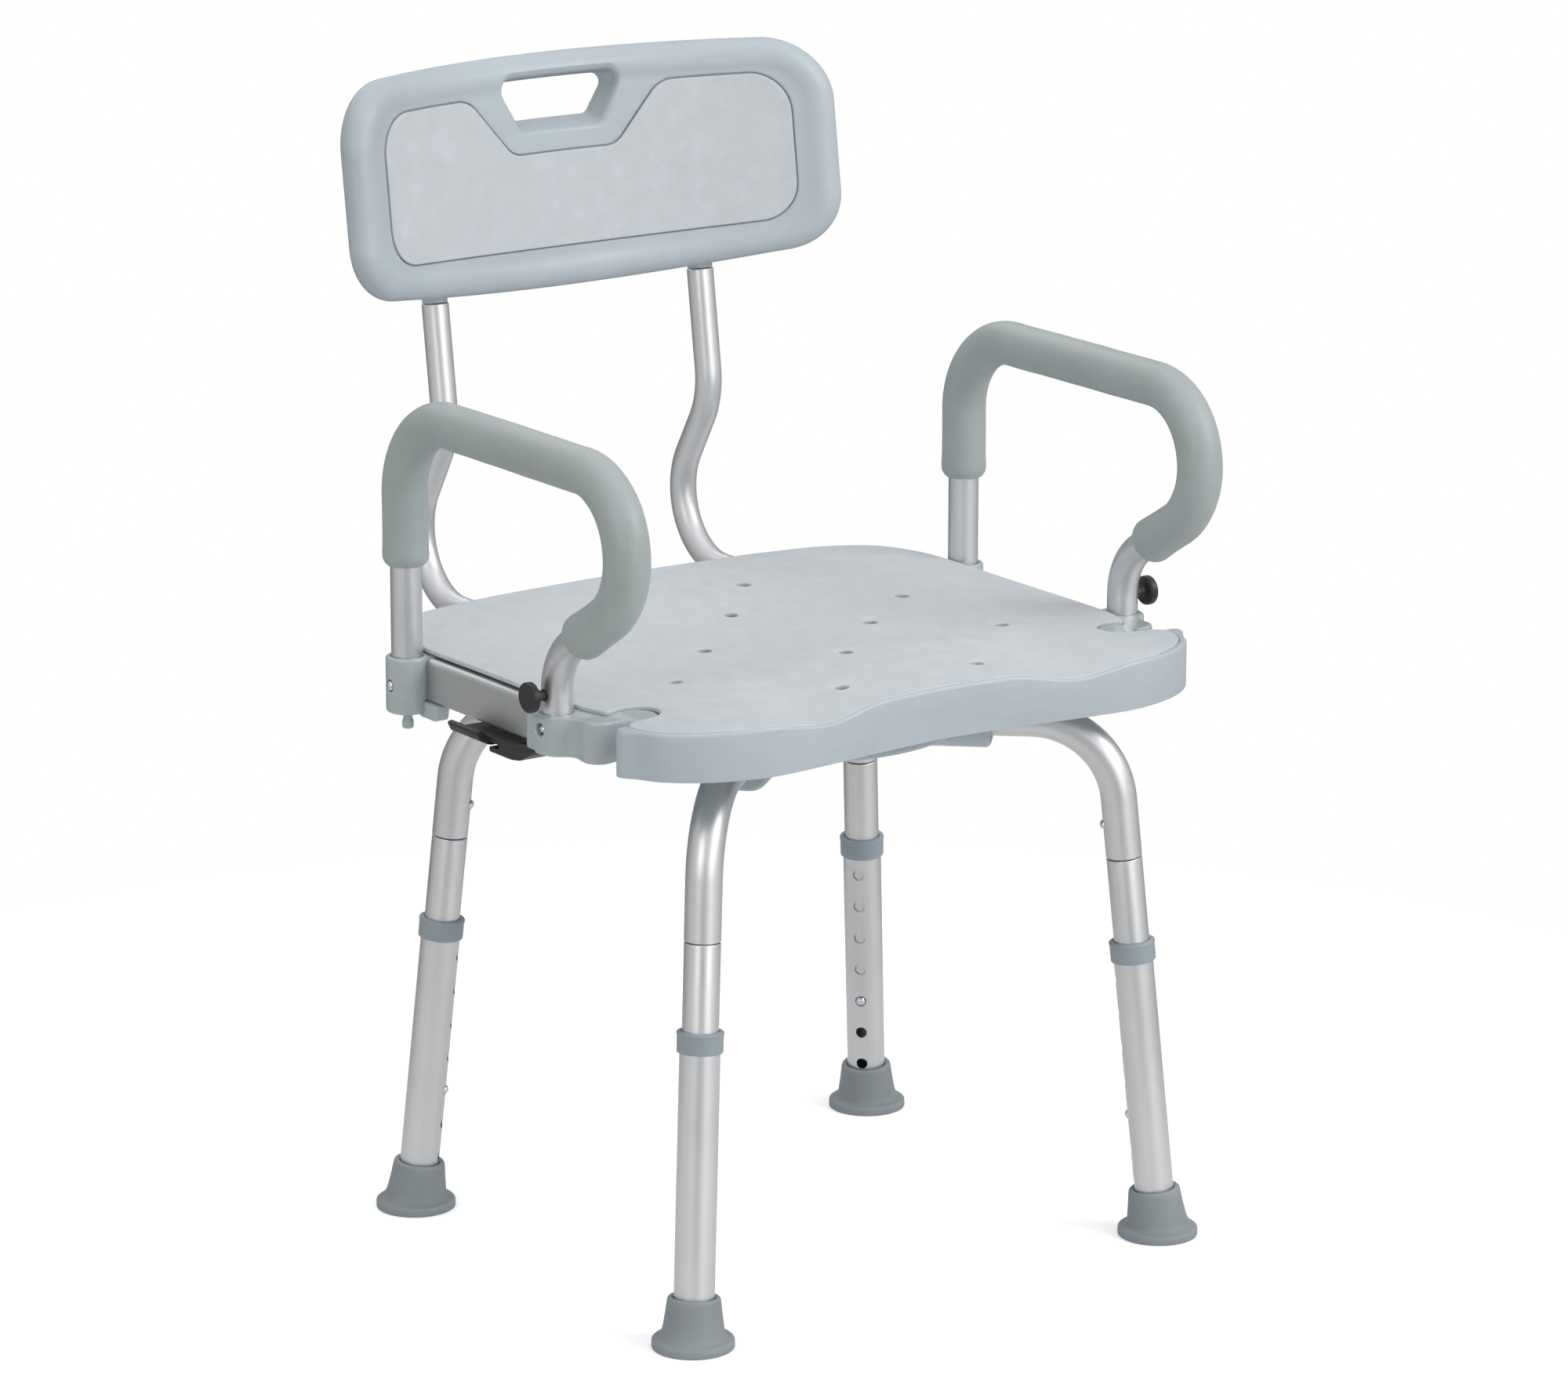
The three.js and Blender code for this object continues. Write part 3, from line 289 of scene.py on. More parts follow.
def spline(points, step):
    """Closed smooth outline through points; a third value makes a corner of that radius."""
    knots = []  # (x, y, place in its corner arc or -1)
    for i, point in enumerate(points):
        if len(point) > 2:
            near = [points[i - 1][:2], (*point, 6), points[(i + 1) % len(points)][:2]]
            corner = rounded(near, closed=False)[1:-1]
            knots += [(x, y, k) for k, (x, y) in enumerate(corner)]
        else:
            knots.append((*point, -1))
    count = len(knots)
    out = []
    for i in range(count):
        p0, p1, p2, p3 = (array(knots[(i + k) % count][:2]) for k in (-1, 0, 1, 2))
        if knots[i][2] >= 0 and knots[(i + 1) % count][2] == knots[i][2] + 1:
            out.append(tuple(p1))
            continue
        d01, d12, d23 = (max(np.linalg.norm(b - a), 1e-6) ** 0.5
                         for a, b in ((p0, p1), (p1, p2), (p2, p3)))
        slope1 = (p1 - p0) / d01 - (p2 - p0) / (d01 + d12) + (p2 - p1) / d12
        slope2 = (p2 - p1) / d12 - (p3 - p1) / (d12 + d23) + (p3 - p2) / d23
        slope1, slope2 = slope1 * d12, slope2 * d12
        pieces = max(1, int(np.linalg.norm(p2 - p1) / step))
        for j in range(pieces):
            t = j / pieces
            out.append(tuple(
                (2 * t**3 - 3 * t**2 + 1) * p1 + (t**3 - 2 * t**2 + t) * slope1
                + (-2 * t**3 + 3 * t**2) * p2 + (t**3 - t**2) * slope2))
    return out


def dense(points, step=3.0):
    """Split the sides of a closed outline into pieces of about step."""
    out = []
    for a, b in zip(points, points[1:] + points[:1]):
        count = max(1, int(math.hypot(b[0] - a[0], b[1] - a[1]) / step))
        out += [(a[0] + (b[0] - a[0]) * j / count, a[1] + (b[1] - a[1]) * j / count)
                for j in range(count)]
    return out


def signed_area(points):
    x, y = points[:, 0], points[:, 1]
    return float(np.sum(x * np.roll(y, -1) - np.roll(x, -1) * y)) / 2


def grow(points, distance):
    """Outline moved out by distance along its normals."""
    points = array(points)
    along = np.roll(points, -1, 0) - np.roll(points, 1, 0)
    along /= np.maximum(np.linalg.norm(along, axis=1), 1e-9)[:, None]
    sign = 1 if signed_area(points) > 0 else -1
    normals = np.stack([along[:, 1], -along[:, 0]], 1) * sign
    out = points + normals * distance
    # where the offset folds over itself, hold the last sound point
    near = np.sqrt(((out[:, None, :] - points[None, :, :]) ** 2).sum(2)).min(1)
    good = near > abs(distance) - 0.12
    if not good.all() and good.any():
        order = np.roll(np.arange(len(points)), -int(np.argmax(good)))
        last = order[0]
        for i in order:
            if good[i]:
                last = i
            else:
                out[i] = out[last]
    return out


def mirror_half(half):
    """Complete an outline given for x >= 0."""
    other = [(-point[0],) + tuple(point[1:]) for point in reversed(half) if abs(point[0]) > 1e-6]
    return list(half) + other


def ring_at(points, z):
    points = array(points)
    return np.column_stack([points, np.full(len(points), float(z))])


# ============================================================ solids
def loft(rings, loop=False, along=None):
    """Skin rings of equal count, a single point being a pole; loop joins last to first."""
    rings = [array(ring).reshape(-1, 3) for ring in rings]
    count = max(len(ring) for ring in rings)
    starts = np.cumsum([0] + [len(ring) for ring in rings]).tolist()
    if along is None:
        along = lengths([ring[0] for ring in rings]) * 0.01
    pairs = list(zip(range(len(rings)), range(1, len(rings))))
    if loop:
        pairs.append((len(rings) - 1, 0))
    faces, uvs = [], []
    for a, b in pairs:
        start_a, start_b = starts[a], starts[b]
        for j in range(count):
            k = (j + 1) % count
            u0, u1 = j / count, (j + 1) / count
            if len(rings[a]) == 1:
                faces.append((start_a, start_b + k, start_b + j))
                uvs.append([(u0, along[a]), (u1, along[b]), (u0, along[b])])
            elif len(rings[b]) == 1:
                faces.append((start_a + j, start_a + k, start_b))
                uvs.append([(u0, along[a]), (u1, along[a]), (u0, along[b])])
            else:
                faces.append((start_a + j, start_a + k, start_b + k, start_b + j))
                uvs.append([(u0, along[a]), (u1, along[a]), (u1, along[b]), (u0, along[b])])
    return np.vstack(rings), faces, uvs


def fill(ring, up):
    """Triangulated cap over a ring that lies at one z."""
    faces = []
    for a, b, c in tessellate_polygon([[Vector(p) for p in ring]]):
        pa, pb, pc = ring[a], ring[b], ring[c]
        turn = (pb[0] - pa[0]) * (pc[1] - pa[1]) - (pb[1] - pa[1]) * (pc[0] - pa[0])
        faces.append((a, b, c) if (turn > 0) == up else (a, c, b))
    return array(ring), faces, blank(faces)


def capped(rings, first_up=False, dist=1e-3):
    """Solid through rings with flat caps."""
    caps = [fill(rings[0], first_up), fill(rings[-1], not first_up)]
    return weld(join([loft(rings)] + caps), dist)


def stack(outline, stations, first_up=False):
    """Capped solid from (growth of the outline, z) stations."""
    return capped([ring_at(grow(outline, growth), z) for growth, z in stations], first_up)


def prism(points, z0, z1):
    points = array(points)
    if signed_area(points) < 0:
        points = points[::-1]
    return capped([ring_at(points, z0), ring_at(points, z1)], dist=1e-4)


def along_x(part):
    """Turn (x, y, z) to (y, z, x), so that a prism runs along x."""
    verts, faces, uvs = part
    return np.column_stack([verts[:, 2], verts[:, 0], verts[:, 1]]), faces, uvs


def prism_x(points_yz, x0, x1):
    return along_x(prism(points_yz, x0, x1))


def prism_y(points_xz, y0, y1):
    verts, faces, uvs = prism(points_xz, -y1, -y0)
    return np.column_stack([verts[:, 0], -verts[:, 2], verts[:, 1]]), faces, uvs


def lathe(profile, sides, matrix=None):
    """Solid of revolution about z from (radius, z), running up the outside."""
    rings = []
    for radius, z in profile:
        if radius < 1e-6:
            rings.append([(0, 0, z)])
        else:
            rings.append([(radius * math.cos(a), radius * math.sin(a), z) for a in angles(sides)])
    part = loft(rings, loop=profile[0][0] > 1e-6)
    return part if matrix is None else moved(part, matrix)


def turned(corners, sides, matrix=None):
    """Lathe of an open profile of corners that starts and ends on the axis."""
    return lathe(rounded(corners, closed=False), sides, matrix)


def disc(radius, z0, z1, edge, sides):
    return turned([(0, z0), (radius, z0, edge, 3), (radius, z1, edge, 3), (0, z1)], sides)


def washer(inner, outer, z0, z1, sides, edge=0.4):
    return lathe(rounded(rectangle(inner, outer, z0, z1, edge, 2)), sides)


def circle(point, tangent, normal, radius, sides):
    """Ring round a path point; normal is across the plane of the path."""
    across = np.cross(normal, tangent)
    return [point + radius * (math.cos(a) * across + math.sin(a) * normal)
            for a in angles(sides)]


def pipe(path, normal, outer, inner, sides, chamfer):
    """Tube along (point, tangent) pairs in the plane of the normal; solid if inner is None."""
    normal = unit(normal)
    path = [(array(point), unit(tangent)) for point, tangent in path]
    length = lengths([point for point, _ in path])
    (start, start_dir), (end, end_dir) = path[0], path[-1]
    middle = list(zip(path, length))[1:-1]
    rings, along = [], []

    def put(ring, distance):
        rings.append(ring)
        along.append(distance * 0.01)

    def ring(point, tangent, radius):
        return circle(point, tangent, normal, radius, sides)

    start_ring = ring(start, start_dir, outer - chamfer)
    end_ring = ring(end, end_dir, outer - chamfer)
    put(start_ring, 0)
    put(ring(start + start_dir * chamfer, start_dir, outer), chamfer)
    for (point, tangent), distance in middle:
        put(ring(point, tangent, outer), distance)
    put(ring(end - end_dir * chamfer, end_dir, outer), length[-1] - chamfer)
    put(end_ring, length[-1])
    if inner is None:
        return loft([[start]] + rings + [[end]], along=[0.0] + along + [along[-1]])
    ratio = inner / (outer - chamfer)
    put([end + (point - end) * ratio for point in end_ring], length[-1])
    for (point, tangent), distance in reversed(middle):
        put(ring(point, tangent, inner), distance)
    put([start + (point - start) * ratio for point in start_ring], 0)
    return loft(rings, loop=True, along=along)


class Path:
    """Planar centre line of straights and arcs; place maps (u, v) into space."""

    def __init__(self, place):
        self.place = place
        self.origin = array(place(0, 0))
        self.points = []

    def at(self, u, v, tangent_u, tangent_v):
        tangent = unit(array(self.place(tangent_u, tangent_v)) - self.origin)
        self.points.append((array(self.place(u, v)), tangent))

    def arc(self, u, v, radius, start, stop, step):
        """Arc about (u, v); angles in degrees. The start point is not added."""
        count = max(2, int(round(abs(stop - start) / step)))
        sign = 1 if stop > start else -1
        for i in range(1, count + 1):
            angle = math.radians(start + (stop - start) * i / count)
            cos, sin = math.cos(angle), math.sin(angle)
            self.at(u + radius * cos, v + radius * sin, -sign * sin, sign * cos)


def cylinder(start, end, radius, sides):
    start, end = array(start), array(end)
    tangent = unit(end - start)
    helper = [0.3, 0.9, 0.2] if abs(tangent[1]) < 0.9 else [1, 0, 0]
    normal = unit(np.cross(tangent, helper))
    return pipe([(start, tangent), (end, tangent)], normal, radius, None, sides, chamfer=0.001)


def plate(outer, holes, z0, z1, bevel, resolution=3):
    """Flat plate with every edge, holes too, rounded by bevel."""
    curve = bpy.data.curves.new("plate", "CURVE")
    curve.dimensions = "2D"
    curve.fill_mode = "BOTH"
    curve.extrude = (z1 - z0) / 2 - bevel
    curve.bevel_depth = bevel
    curve.bevel_resolution = resolution
    curve.offset = -bevel
    for outline in [outer] + list(holes):
        poly = curve.splines.new("POLY")
        poly.points.add(len(outline) - 1)
        for point, (x, y) in zip(poly.points, outline):
            point.co = (x, y, 0, 1)
        poly.use_cyclic_u = True
    obj = link_object("plate", curve)
    mesh = evaluated(obj)
    with editing(mesh) as bm:
        bmesh.ops.remove_doubles(bm, verts=bm.verts, dist=2e-3)
        bmesh.ops.recalc_face_normals(bm, faces=bm.faces)
    verts, faces, _ = take(mesh)
    verts[:, 2] += (z0 + z1) / 2
    bpy.data.objects.remove(obj)
    bpy.data.curves.remove(curve)
    return verts, faces, blank(faces)


# ================================================================ finishes
def srgb(*channels):
    """Linear colour from 0..255 sRGB channels."""
    def linear(value):
        value /= 255.0
        return value / 12.92 if value <= 0.04045 else ((value + 0.055) / 1.055) ** 2.4

    return (*(linear(value) for value in channels), 1.0)


def shade(colour, factor):
    return (*(min(1, value * factor) for value in colour[:3]), 1.0)


class Graph:
    """Short calls for building a shader tree."""

    def __init__(self, tree):
        self.tree = tree

    def feed(self, socket, value):
        """Link value if it is a socket, else set it."""
        if isinstance(value, bpy.types.NodeSocket):
            self.tree.links.new(value, socket)
        else:
            socket.default_value = value

    def node(self, kind, inputs=None, **settings):
        node = self.tree.nodes.new("ShaderNode" + kind)
        for name, value in settings.items():
            setattr(node, name, value)
        for key, value in (inputs or {}).items():
            self.feed(node.inputs[key], value)
        return node

    def ramp(self, factor, stops, interpolation="LINEAR"):
        node = self.node("ValToRGB", {"Fac": factor})
        ramp = node.color_ramp
        ramp.interpolation = interpolation
        while len(ramp.elements) > 1:
            ramp.elements.remove(ramp.elements[-1])
        ramp.elements[0].position, ramp.elements[0].color = stops[0]
        for position, colour in stops[1:]:
            ramp.elements.new(position).color = colour
        return node.outputs["Color"]

    def remap(self, value, to, over=(0.3, 0.7)):
        """Map the range over onto the range to."""
        return self.node("MapRange", {
            "From Min": over[0], "From Max": over[1], "To Min": to[0], "To Max": to[1],
            "Value": value}).outputs["Result"]

    def mix(self, factor, first, second):
        inputs = {0: factor, 6: first, 7: second}
        return self.node("Mix", inputs, data_type="RGBA").outputs[2]

    def math(self, operation, first, second):
        return self.node("Math", {0: first, 1: second}, operation=operation).outputs[0]

    def camera_ray(self):
        return self.node("LightPath").outputs["Is Camera Ray"]


class Material(Graph):
    def __init__(self, name):
        self.material = bpy.data.materials.new(name)
        self.material.use_nodes = True
        super().__init__(self.material.node_tree)
        self.bsdf = self.tree.nodes["Principled BSDF"]
        self.coordinates = self.node("TexCoord")
        self.normal = None

    def mapped(self, scale=(1, 1, 1), uv=False):
        source = self.coordinates.outputs["UV" if uv else "Object"]
        return self.node("Mapping", {"Scale": scale, "Vector": source}).outputs["Vector"]

    def noise(self, scale, detail=3.0, roughness=0.5, vector=None, distortion=0.0):
        return self.node("TexNoise", {
            "Scale": scale, "Detail": detail, "Roughness": roughness,
            "Distortion": distortion, "Vector": vector or self.mapped()}).outputs["Fac"]

    def voronoi(self, scale):
        inputs = {"Scale": scale, "Vector": self.mapped()}
        return self.node("TexVoronoi", inputs).outputs["Distance"]

    def tones(self, factor, base, stops):
        """Ramp through shades of base; stops are (position, brightness factor)."""
        return self.ramp(factor, [(position, shade(base, gain)) for position, gain in stops])

    def painted_edge_highlight(self):
        """Mask of the painted edge highlight: 1 on outer edges, 0 elsewhere."""
        pointiness = self.node("NewGeometry").outputs["Pointiness"]
        return self.remap(pointiness, to=(0.0, 1.0), over=(0.51, 0.56))

    def bump(self, height, strength, distance):
        """Add a bump layer (distance in metres) on top of the earlier ones."""
        inputs = {"Strength": strength, "Distance": distance, "Height": height}
        if self.normal:
            inputs["Normal"] = self.normal
        self.normal = self.node("Bump", inputs).outputs["Normal"]
        self.feed(self.bsdf.inputs["Normal"], self.normal)

    def set(self, **inputs):
        """Feed the inputs of the surface shader; _ stands for a space."""
        for name, value in inputs.items():
            self.feed(self.bsdf.inputs[name.replace("_", " ")], value)


def plastic(name, base, rough, grain, coat=0.0, streak=0.0, spread=0.06):
    """Moulded plastic: clouded by +-spread, with flow streaks and a painted highlight that lightens
    the outer edges.
    """
    m = Material(name)
    cloud = m.noise(scale=9.0, detail=4.0, roughness=0.55)
    fine = m.noise(scale=900.0, detail=2.0, roughness=0.6)
    tone = m.tones(cloud, base, [(0.25, 1 - spread), (0.5, 1), (0.75, 1 + spread)])
    if streak:
        stretched = m.mapped(scale=(14, 14, 110))
        flow = m.noise(scale=1.0, detail=5.0, roughness=0.65, vector=stretched, distortion=0.8)
        amount = m.remap(flow, to=(0.0, streak), over=(0.45, 0.8))
        tone = m.mix(amount, tone, shade(base, factor=1.25))
    # painted highlight: outer edges are lightened to 1.35 times the base colour
    edge = m.math("MULTIPLY", m.painted_edge_highlight(), second=0.22)
    tone = m.mix(edge, tone, shade(base, factor=1.35))
    patches = m.noise(scale=30.0, detail=5.0, roughness=0.6)
    m.set(Base_Color=tone, Roughness=m.remap(patches, to=rough), IOR=1.49,
          Coat_Weight=coat, Coat_Roughness=0.12, Subsurface_Weight=0.04,
          Subsurface_Scale=0.002, Subsurface_Radius=(1.0, 1.0, 1.0))
    m.bump(m.noise(scale=14.0, detail=2.0), strength=0.05, distance=0.004)
    m.bump(fine, strength=grain, distance=0.0006)
    return m.material


def aluminium(name, base, uv):
    """Satin metal with drawing lines, laid in UV or in object space."""
    m = Material(name)
    tone = m.tones(m.noise(scale=7.0, detail=3.0), base, [(0.3, 0.94), (0.7, 1.04)])
    lines = m.mapped(scale=(260, 1.2, 1), uv=uv)
    drawn = m.noise(scale=1.0, detail=4.0, roughness=0.7, vector=lines)
    amount = m.remap(drawn, to=(0.0, 0.35), over=(0.4, 0.75))
    tone = m.mix(amount, tone, shade(base, factor=0.86))
    speck = m.noise(scale=1400.0, detail=2.0, roughness=0.7)
    smudge = m.remap(m.noise(scale=24.0, detail=4.0, roughness=0.6), to=(-0.03, 0.05))
    roughness = m.math("ADD", m.remap(drawn, to=(0.36, 0.46)), smudge)
    m.set(Base_Color=tone, Metallic=1.0, Roughness=roughness)
    m.bump(drawn, strength=0.035, distance=0.0004)
    m.bump(speck, strength=0.05, distance=0.0003)
    return m.material


def foam_sheet(name, base):
    m = Material(name)
    mottle = m.noise(scale=60.0, detail=5.0, roughness=0.65)
    cloud = m.noise(scale=5.0, detail=3.0)
    speck = m.voronoi(scale=1500.0)
    tone = m.tones(mottle, base, [(0.3, 0.93), (0.52, 1), (0.72, 1.09)])
    tone = m.mix(m.remap(cloud, to=(0.0, 0.5)), tone, shade(base, factor=0.96))
    amount = m.remap(speck, to=(0.22, 0.0), over=(0.0, 0.25))
    tone = m.mix(amount, tone, shade(base, factor=0.85))
    m.set(Base_Color=tone, Roughness=m.remap(mottle, to=(0.62, 0.78)),
          Sheen_Weight=0.12, Sheen_Roughness=0.5, Specular_IOR_Level=0.35)
    m.bump(cloud, strength=0.06, distance=0.004)
    m.bump(mottle, strength=0.10, distance=0.0008)
    m.bump(speck, strength=0.16, distance=0.0003)
    return m.material


def foam_sleeve(name, base):
    """Foam tube: scuffed along its UV, with fine cells and sparse pits."""
    m = Material(name)
    cloud = m.noise(scale=18.0, detail=4.0, roughness=0.6)
    cells = m.voronoi(scale=1100.0)
    stretched = m.mapped(scale=(9, 3, 1), uv=True)
    scuff = m.noise(scale=1.0, detail=4.0, roughness=0.6, vector=stretched)
    tone = m.tones(cloud, base, [(0.3, 0.93), (0.55, 1), (0.8, 1.08)])
    amount = m.remap(scuff, to=(0.0, 0.35), over=(0.5, 0.75))
    tone = m.mix(amount, tone, shade(base, factor=1.12))
    amount = m.remap(cells, to=(0.25, 0.0), over=(0.0, 0.22))
    tone = m.mix(amount, tone, shade(base, factor=0.8))
    pits = m.remap(m.voronoi(scale=70.0), to=(0.0, 1.0), over=(0.02, 0.09))
    m.set(Base_Color=tone, Roughness=m.remap(cloud, to=(0.36, 0.5)),
          Sheen_Weight=0.15, Specular_IOR_Level=0.42)
    m.bump(cloud, strength=0.10, distance=0.002)
    m.bump(pits, strength=0.12, distance=0.0006)
    m.bump(cells, strength=0.22, distance=0.0003)
    return m.material


def rubber(name, base):
    m = Material(name)
    cloud = m.noise(scale=26.0, detail=5.0, roughness=0.6)
    fine = m.noise(scale=1300.0, detail=2.0, roughness=0.6)
    tone = m.tones(cloud, base, [(0.3, 0.9), (0.7, 1.08)])
    # painted highlight: outer edges are lightened to 1.4 times the base colour
    edge = m.math("MULTIPLY", m.painted_edge_highlight(), second=0.3)
    tone = m.mix(edge, tone, shade(base, factor=1.4))
    m.set(Base_Color=tone, Roughness=m.remap(cloud, to=(0.5, 0.66)), Specular_IOR_Level=0.4)
    m.bump(cloud, strength=0.06, distance=0.001)
    m.bump(fine, strength=0.12, distance=0.0003)
    return m.material


def chrome(name, base, rough):
    m = Material(name)
    haze = m.noise(scale=90.0, detail=4.0, roughness=0.6)
    m.set(Base_Color=m.tones(haze, base, [(0.3, 0.93), (0.7, 1)]), Metallic=1.0,
          Roughness=m.remap(haze, to=(rough, rough + 0.08)))
    m.bump(m.noise(scale=1500.0), strength=0.03, distance=0.0002)
    return m.material


MATERIALS = {
    "plastic": plastic("moulded_plastic", srgb(171, 181, 186), rough=(0.36, 0.48),
                       grain=0.05, streak=0.25),
    "bracket": plastic("gloss_plastic", srgb(168, 177, 179), rough=(0.20, 0.30),
                       grain=0.03, coat=0.25, streak=0.3),
    "base": plastic("base_plastic", srgb(170, 181, 186), rough=(0.34, 0.46),
                    grain=0.05, coat=0.05, streak=0.15),
    "collar": plastic("collar_plastic", srgb(143, 154, 160), rough=(0.4, 0.52), grain=0.06),
    "black": plastic("black_plastic", srgb(38, 38, 40), rough=(0.34, 0.5),
                     grain=0.10, spread=0.15),
    "bearing": plastic("bearing_plastic", srgb(52, 52, 54), rough=(0.4, 0.5), grain=0.04),
    "tube": aluminium("satin_aluminium", srgb(221, 222, 223), uv=True),
    "rail": aluminium("rail_aluminium", srgb(204, 206, 206), uv=False),
    "pad": foam_sheet("foam_sheet", srgb(190, 195, 199)),
    "foam": foam_sleeve("foam_sleeve", srgb(157, 166, 165)),
    "rubber": rubber("grey_rubber", srgb(133, 140, 143)),
    "chrome": chrome("chrome", srgb(226, 227, 229), rough=0.07),
    "steel": chrome("plated_steel", srgb(182, 185, 188), rough=0.24),
}

# ==================================================================== legs
# In a leg's plane x runs outwards from the swivel axis. The leg axis leans inwards with
# height and meets the floor at LEG_FOOT_R; heights along it are taken from the floor.
LEG_AZIMUTH = 41.4
LEGS = {"fr": -LEG_AZIMUTH, "rr": LEG_AZIMUTH, "rl": 180 - LEG_AZIMUTH, "fl": 180 + LEG_AZIMUTH}
TILT_DEG = 5.8
TILT = math.radians(TILT_DEG)
TILT_COS, TILT_SIN = math.cos(TILT), math.sin(TILT)
LEG_FOOT_R = 268.0
ARCH_Z, ARCH_BEND, ARCH_R = 377.0, 62.0, 12.7  # upper tube: top height, bend, tube radius
SEAM = 280.6  # where upper and middle tubes meet
HEIGHT_HOLES = [39.6 + 25.4 * k for k in range(7)]
HEIGHT_BUTTON, JOINT_BUTTON = HEIGHT_HOLES[2], 304.6
BUTTON_HOLE_R = 4.2

LEG_FRAME = np.eye(4)  # leg axis (z up the leg, x outwards) to the leg's plane
LEG_FRAME[:3, :3] = [[TILT_COS, 0, -TILT_SIN], [0, 1, 0], [TILT_SIN, 0, TILT_COS]]
LEG_FRAME[0, 3] = LEG_FOOT_R


def upper_tube():
    """Runs out of the base, bends down and ends at the seam."""
    bend_z = ARCH_Z - ARCH_BEND
    bend_x = (TILT_COS * LEG_FOOT_R - ARCH_BEND - TILT_SIN * bend_z) / TILT_COS
    path = Path(lambda u, v: (u, 0, v))
    path.at(63, ARCH_Z, 1, 0)
    path.at(bend_x, ARCH_Z, 1, 0)
    path.arc(bend_x, bend_z, ARCH_BEND, 90, TILT_DEG, 2.4)
    path.at(LEG_FOOT_R - SEAM * TILT_SIN, SEAM * TILT_COS, TILT_SIN, -TILT_COS)
    tube = pipe(path.points, (0, 1, 0), ARCH_R, ARCH_R - 1.6, 56, 0.7)
    hole = cylinder((0, 0, JOINT_BUTTON), (-30, 0, JOINT_BUTTON), BUTTON_HOLE_R, 28)
    return boolean(tube, [moved(hole, LEG_FRAME)])


def middle_tube():
    return lathe(rounded([
        (11, 74), (12.6, 74), (12.6, SEAM - 0.6, 0.8, 4), (10.3, SEAM - 0.6, 0.4, 2),
        (10.3, 320), (8.8, 320), (8.8, SEAM - 4), (11, SEAM - 8)]), 56)


def lower_tube():
    path = [((0, 0, 7.0), (0, 0, 1)), ((0, 0, 214.2), (0, 0, 1))]
    tube = pipe(path, (0, 1, 0), 14.0, 13.05, 56, 0.4)
    return boolean(tube, [cylinder((-4, 0, z), (-30, 0, z), BUTTON_HOLE_R, 28)
                          for z in HEIGHT_HOLES])


def collar():
    """Ring with a rolled upper lip."""
    return lathe(rounded([
        (14.4, 204.5), (16.0, 204.5, 0.7, 3), (16.0, 216.2, 0.5, 3), (16.35, 216.9, 0.5, 3),
        (16.35, 218.6, 0.9, 4), (14.6, 219.6, 0.8, 4), (13.1, 219.4), (13.1, 214.7),
        (14.4, 214.7)]), 64)


# (radius, height along the leg, share of the leg's tilt)
FOOT_STATIONS = [
    (0, 0, 0), (19.0, 0, 0), (19.6, 0.9, 0), (23.4, 0.9, 0), (24.0, 0, 0), (27.4, 0, 0),
    (28.2, 0.3, 0), (28.5, 1.0, 0), (28.5, 4.6, 0), (28.2, 5.6, 0), (27.4, 6.3, 0),
    (26.2, 6.8, 0.05), (24.8, 7.3, 0.15), (23.7, 8.0, 0.3), (22.7, 9.1, 0.5), (22.0, 10.6, 0.7),
    (21.4, 12.6, 0.9), (20.9, 15.0, 1), (20.3, 19.0, 1), (19.7, 23.0, 1), (19.2, 27.0, 1),
    (18.7, 31.0, 1), (18.4, 33.0, 1), (18.1, 34.0, 1), (17.4, 34.8, 1), (16.4, 35.1, 1),
    (15.4, 34.9, 1), (14.5, 34.3, 1), (14.4, 32.0, 1), (14.4, 8.0, 1), (13.0, 7.2, 1),
    (0, 6.8, 1),
]


def foot():
    """One skin from the flat flange, turning smoothly to the tilt of the leg."""
    rings = []
    for radius, height, share in FOOT_STATIONS:
        tilt = TILT * share
        x = LEG_FOOT_R - 0.5 + (0.5 - height * TILT_SIN) * share
        z = height * (TILT_COS * share + (1 - share))
        if radius < 1e-6:
            rings.append([(x, 0, z)])
            continue
        rings.append([(x + radius * math.cos(a) * math.cos(tilt), radius * math.sin(a),
                       z + radius * math.cos(a) * math.sin(tilt)) for a in angles(72)])
    return loft(rings)


def snap_button(radius=3.6):
    """Round-nosed button along +z with its nose at 0."""
    nose = [(radius * math.cos(a), -2.9 + 2.9 * math.sin(a)) for a in quarter(8)[1:-1]]
    return lathe([(0, -9.0), (radius * 0.9, -9.0), (radius, -8.6), (radius, -2.9)]
                 + nose + [(0, 0.0)], 32)


UPPER, MIDDLE, LOWER, COLLAR, FOOT = upper_tube(), middle_tube(), lower_tube(), collar(), foot()
SNAP = snap_button()
for leg, azimuth in LEGS.items():
    plane = turn_z(azimuth)
    axis = plane @ LEG_FRAME
    lower_body = f"lower_leg_{leg}"
    finish_piece(f"upper_tube_{leg}", moved(UPPER, plane), "tube", "base",
                 f"leg_upper_tube_{leg}", "tube")
    finish_piece(f"middle_tube_{leg}", moved(MIDDLE, axis), "tube", "base",
                 f"leg_middle_tube_{leg}", "tube")
    finish_piece(f"lower_tube_{leg}", moved(LOWER, axis), "tube", lower_body,
                 f"leg_lower_tube_{leg}", "tube")
    finish_piece(f"collar_{leg}", moved(COLLAR, axis), "collar", lower_body,
                 f"leg_collar_{leg}", "collar")
    finish_piece(f"rubber_foot_{leg}", moved(FOOT, plane), "rubber", lower_body,
                 f"foot_{leg}", "foot_rubber", angle=50)
    for label, height, nose in (("height_button", HEIGHT_BUTTON, 16.0),
                                ("leg_joint_button", JOINT_BUTTON, 15.0)):
        button = moved(SNAP, axis @ frame_to((-nose, 0, height), (-1, 0, 0)))
        finish_piece(f"{label}_ball_{leg}", button, "chrome", f"{label}_body_{leg}",
                     f"{label}_{leg}", "chrome_button")

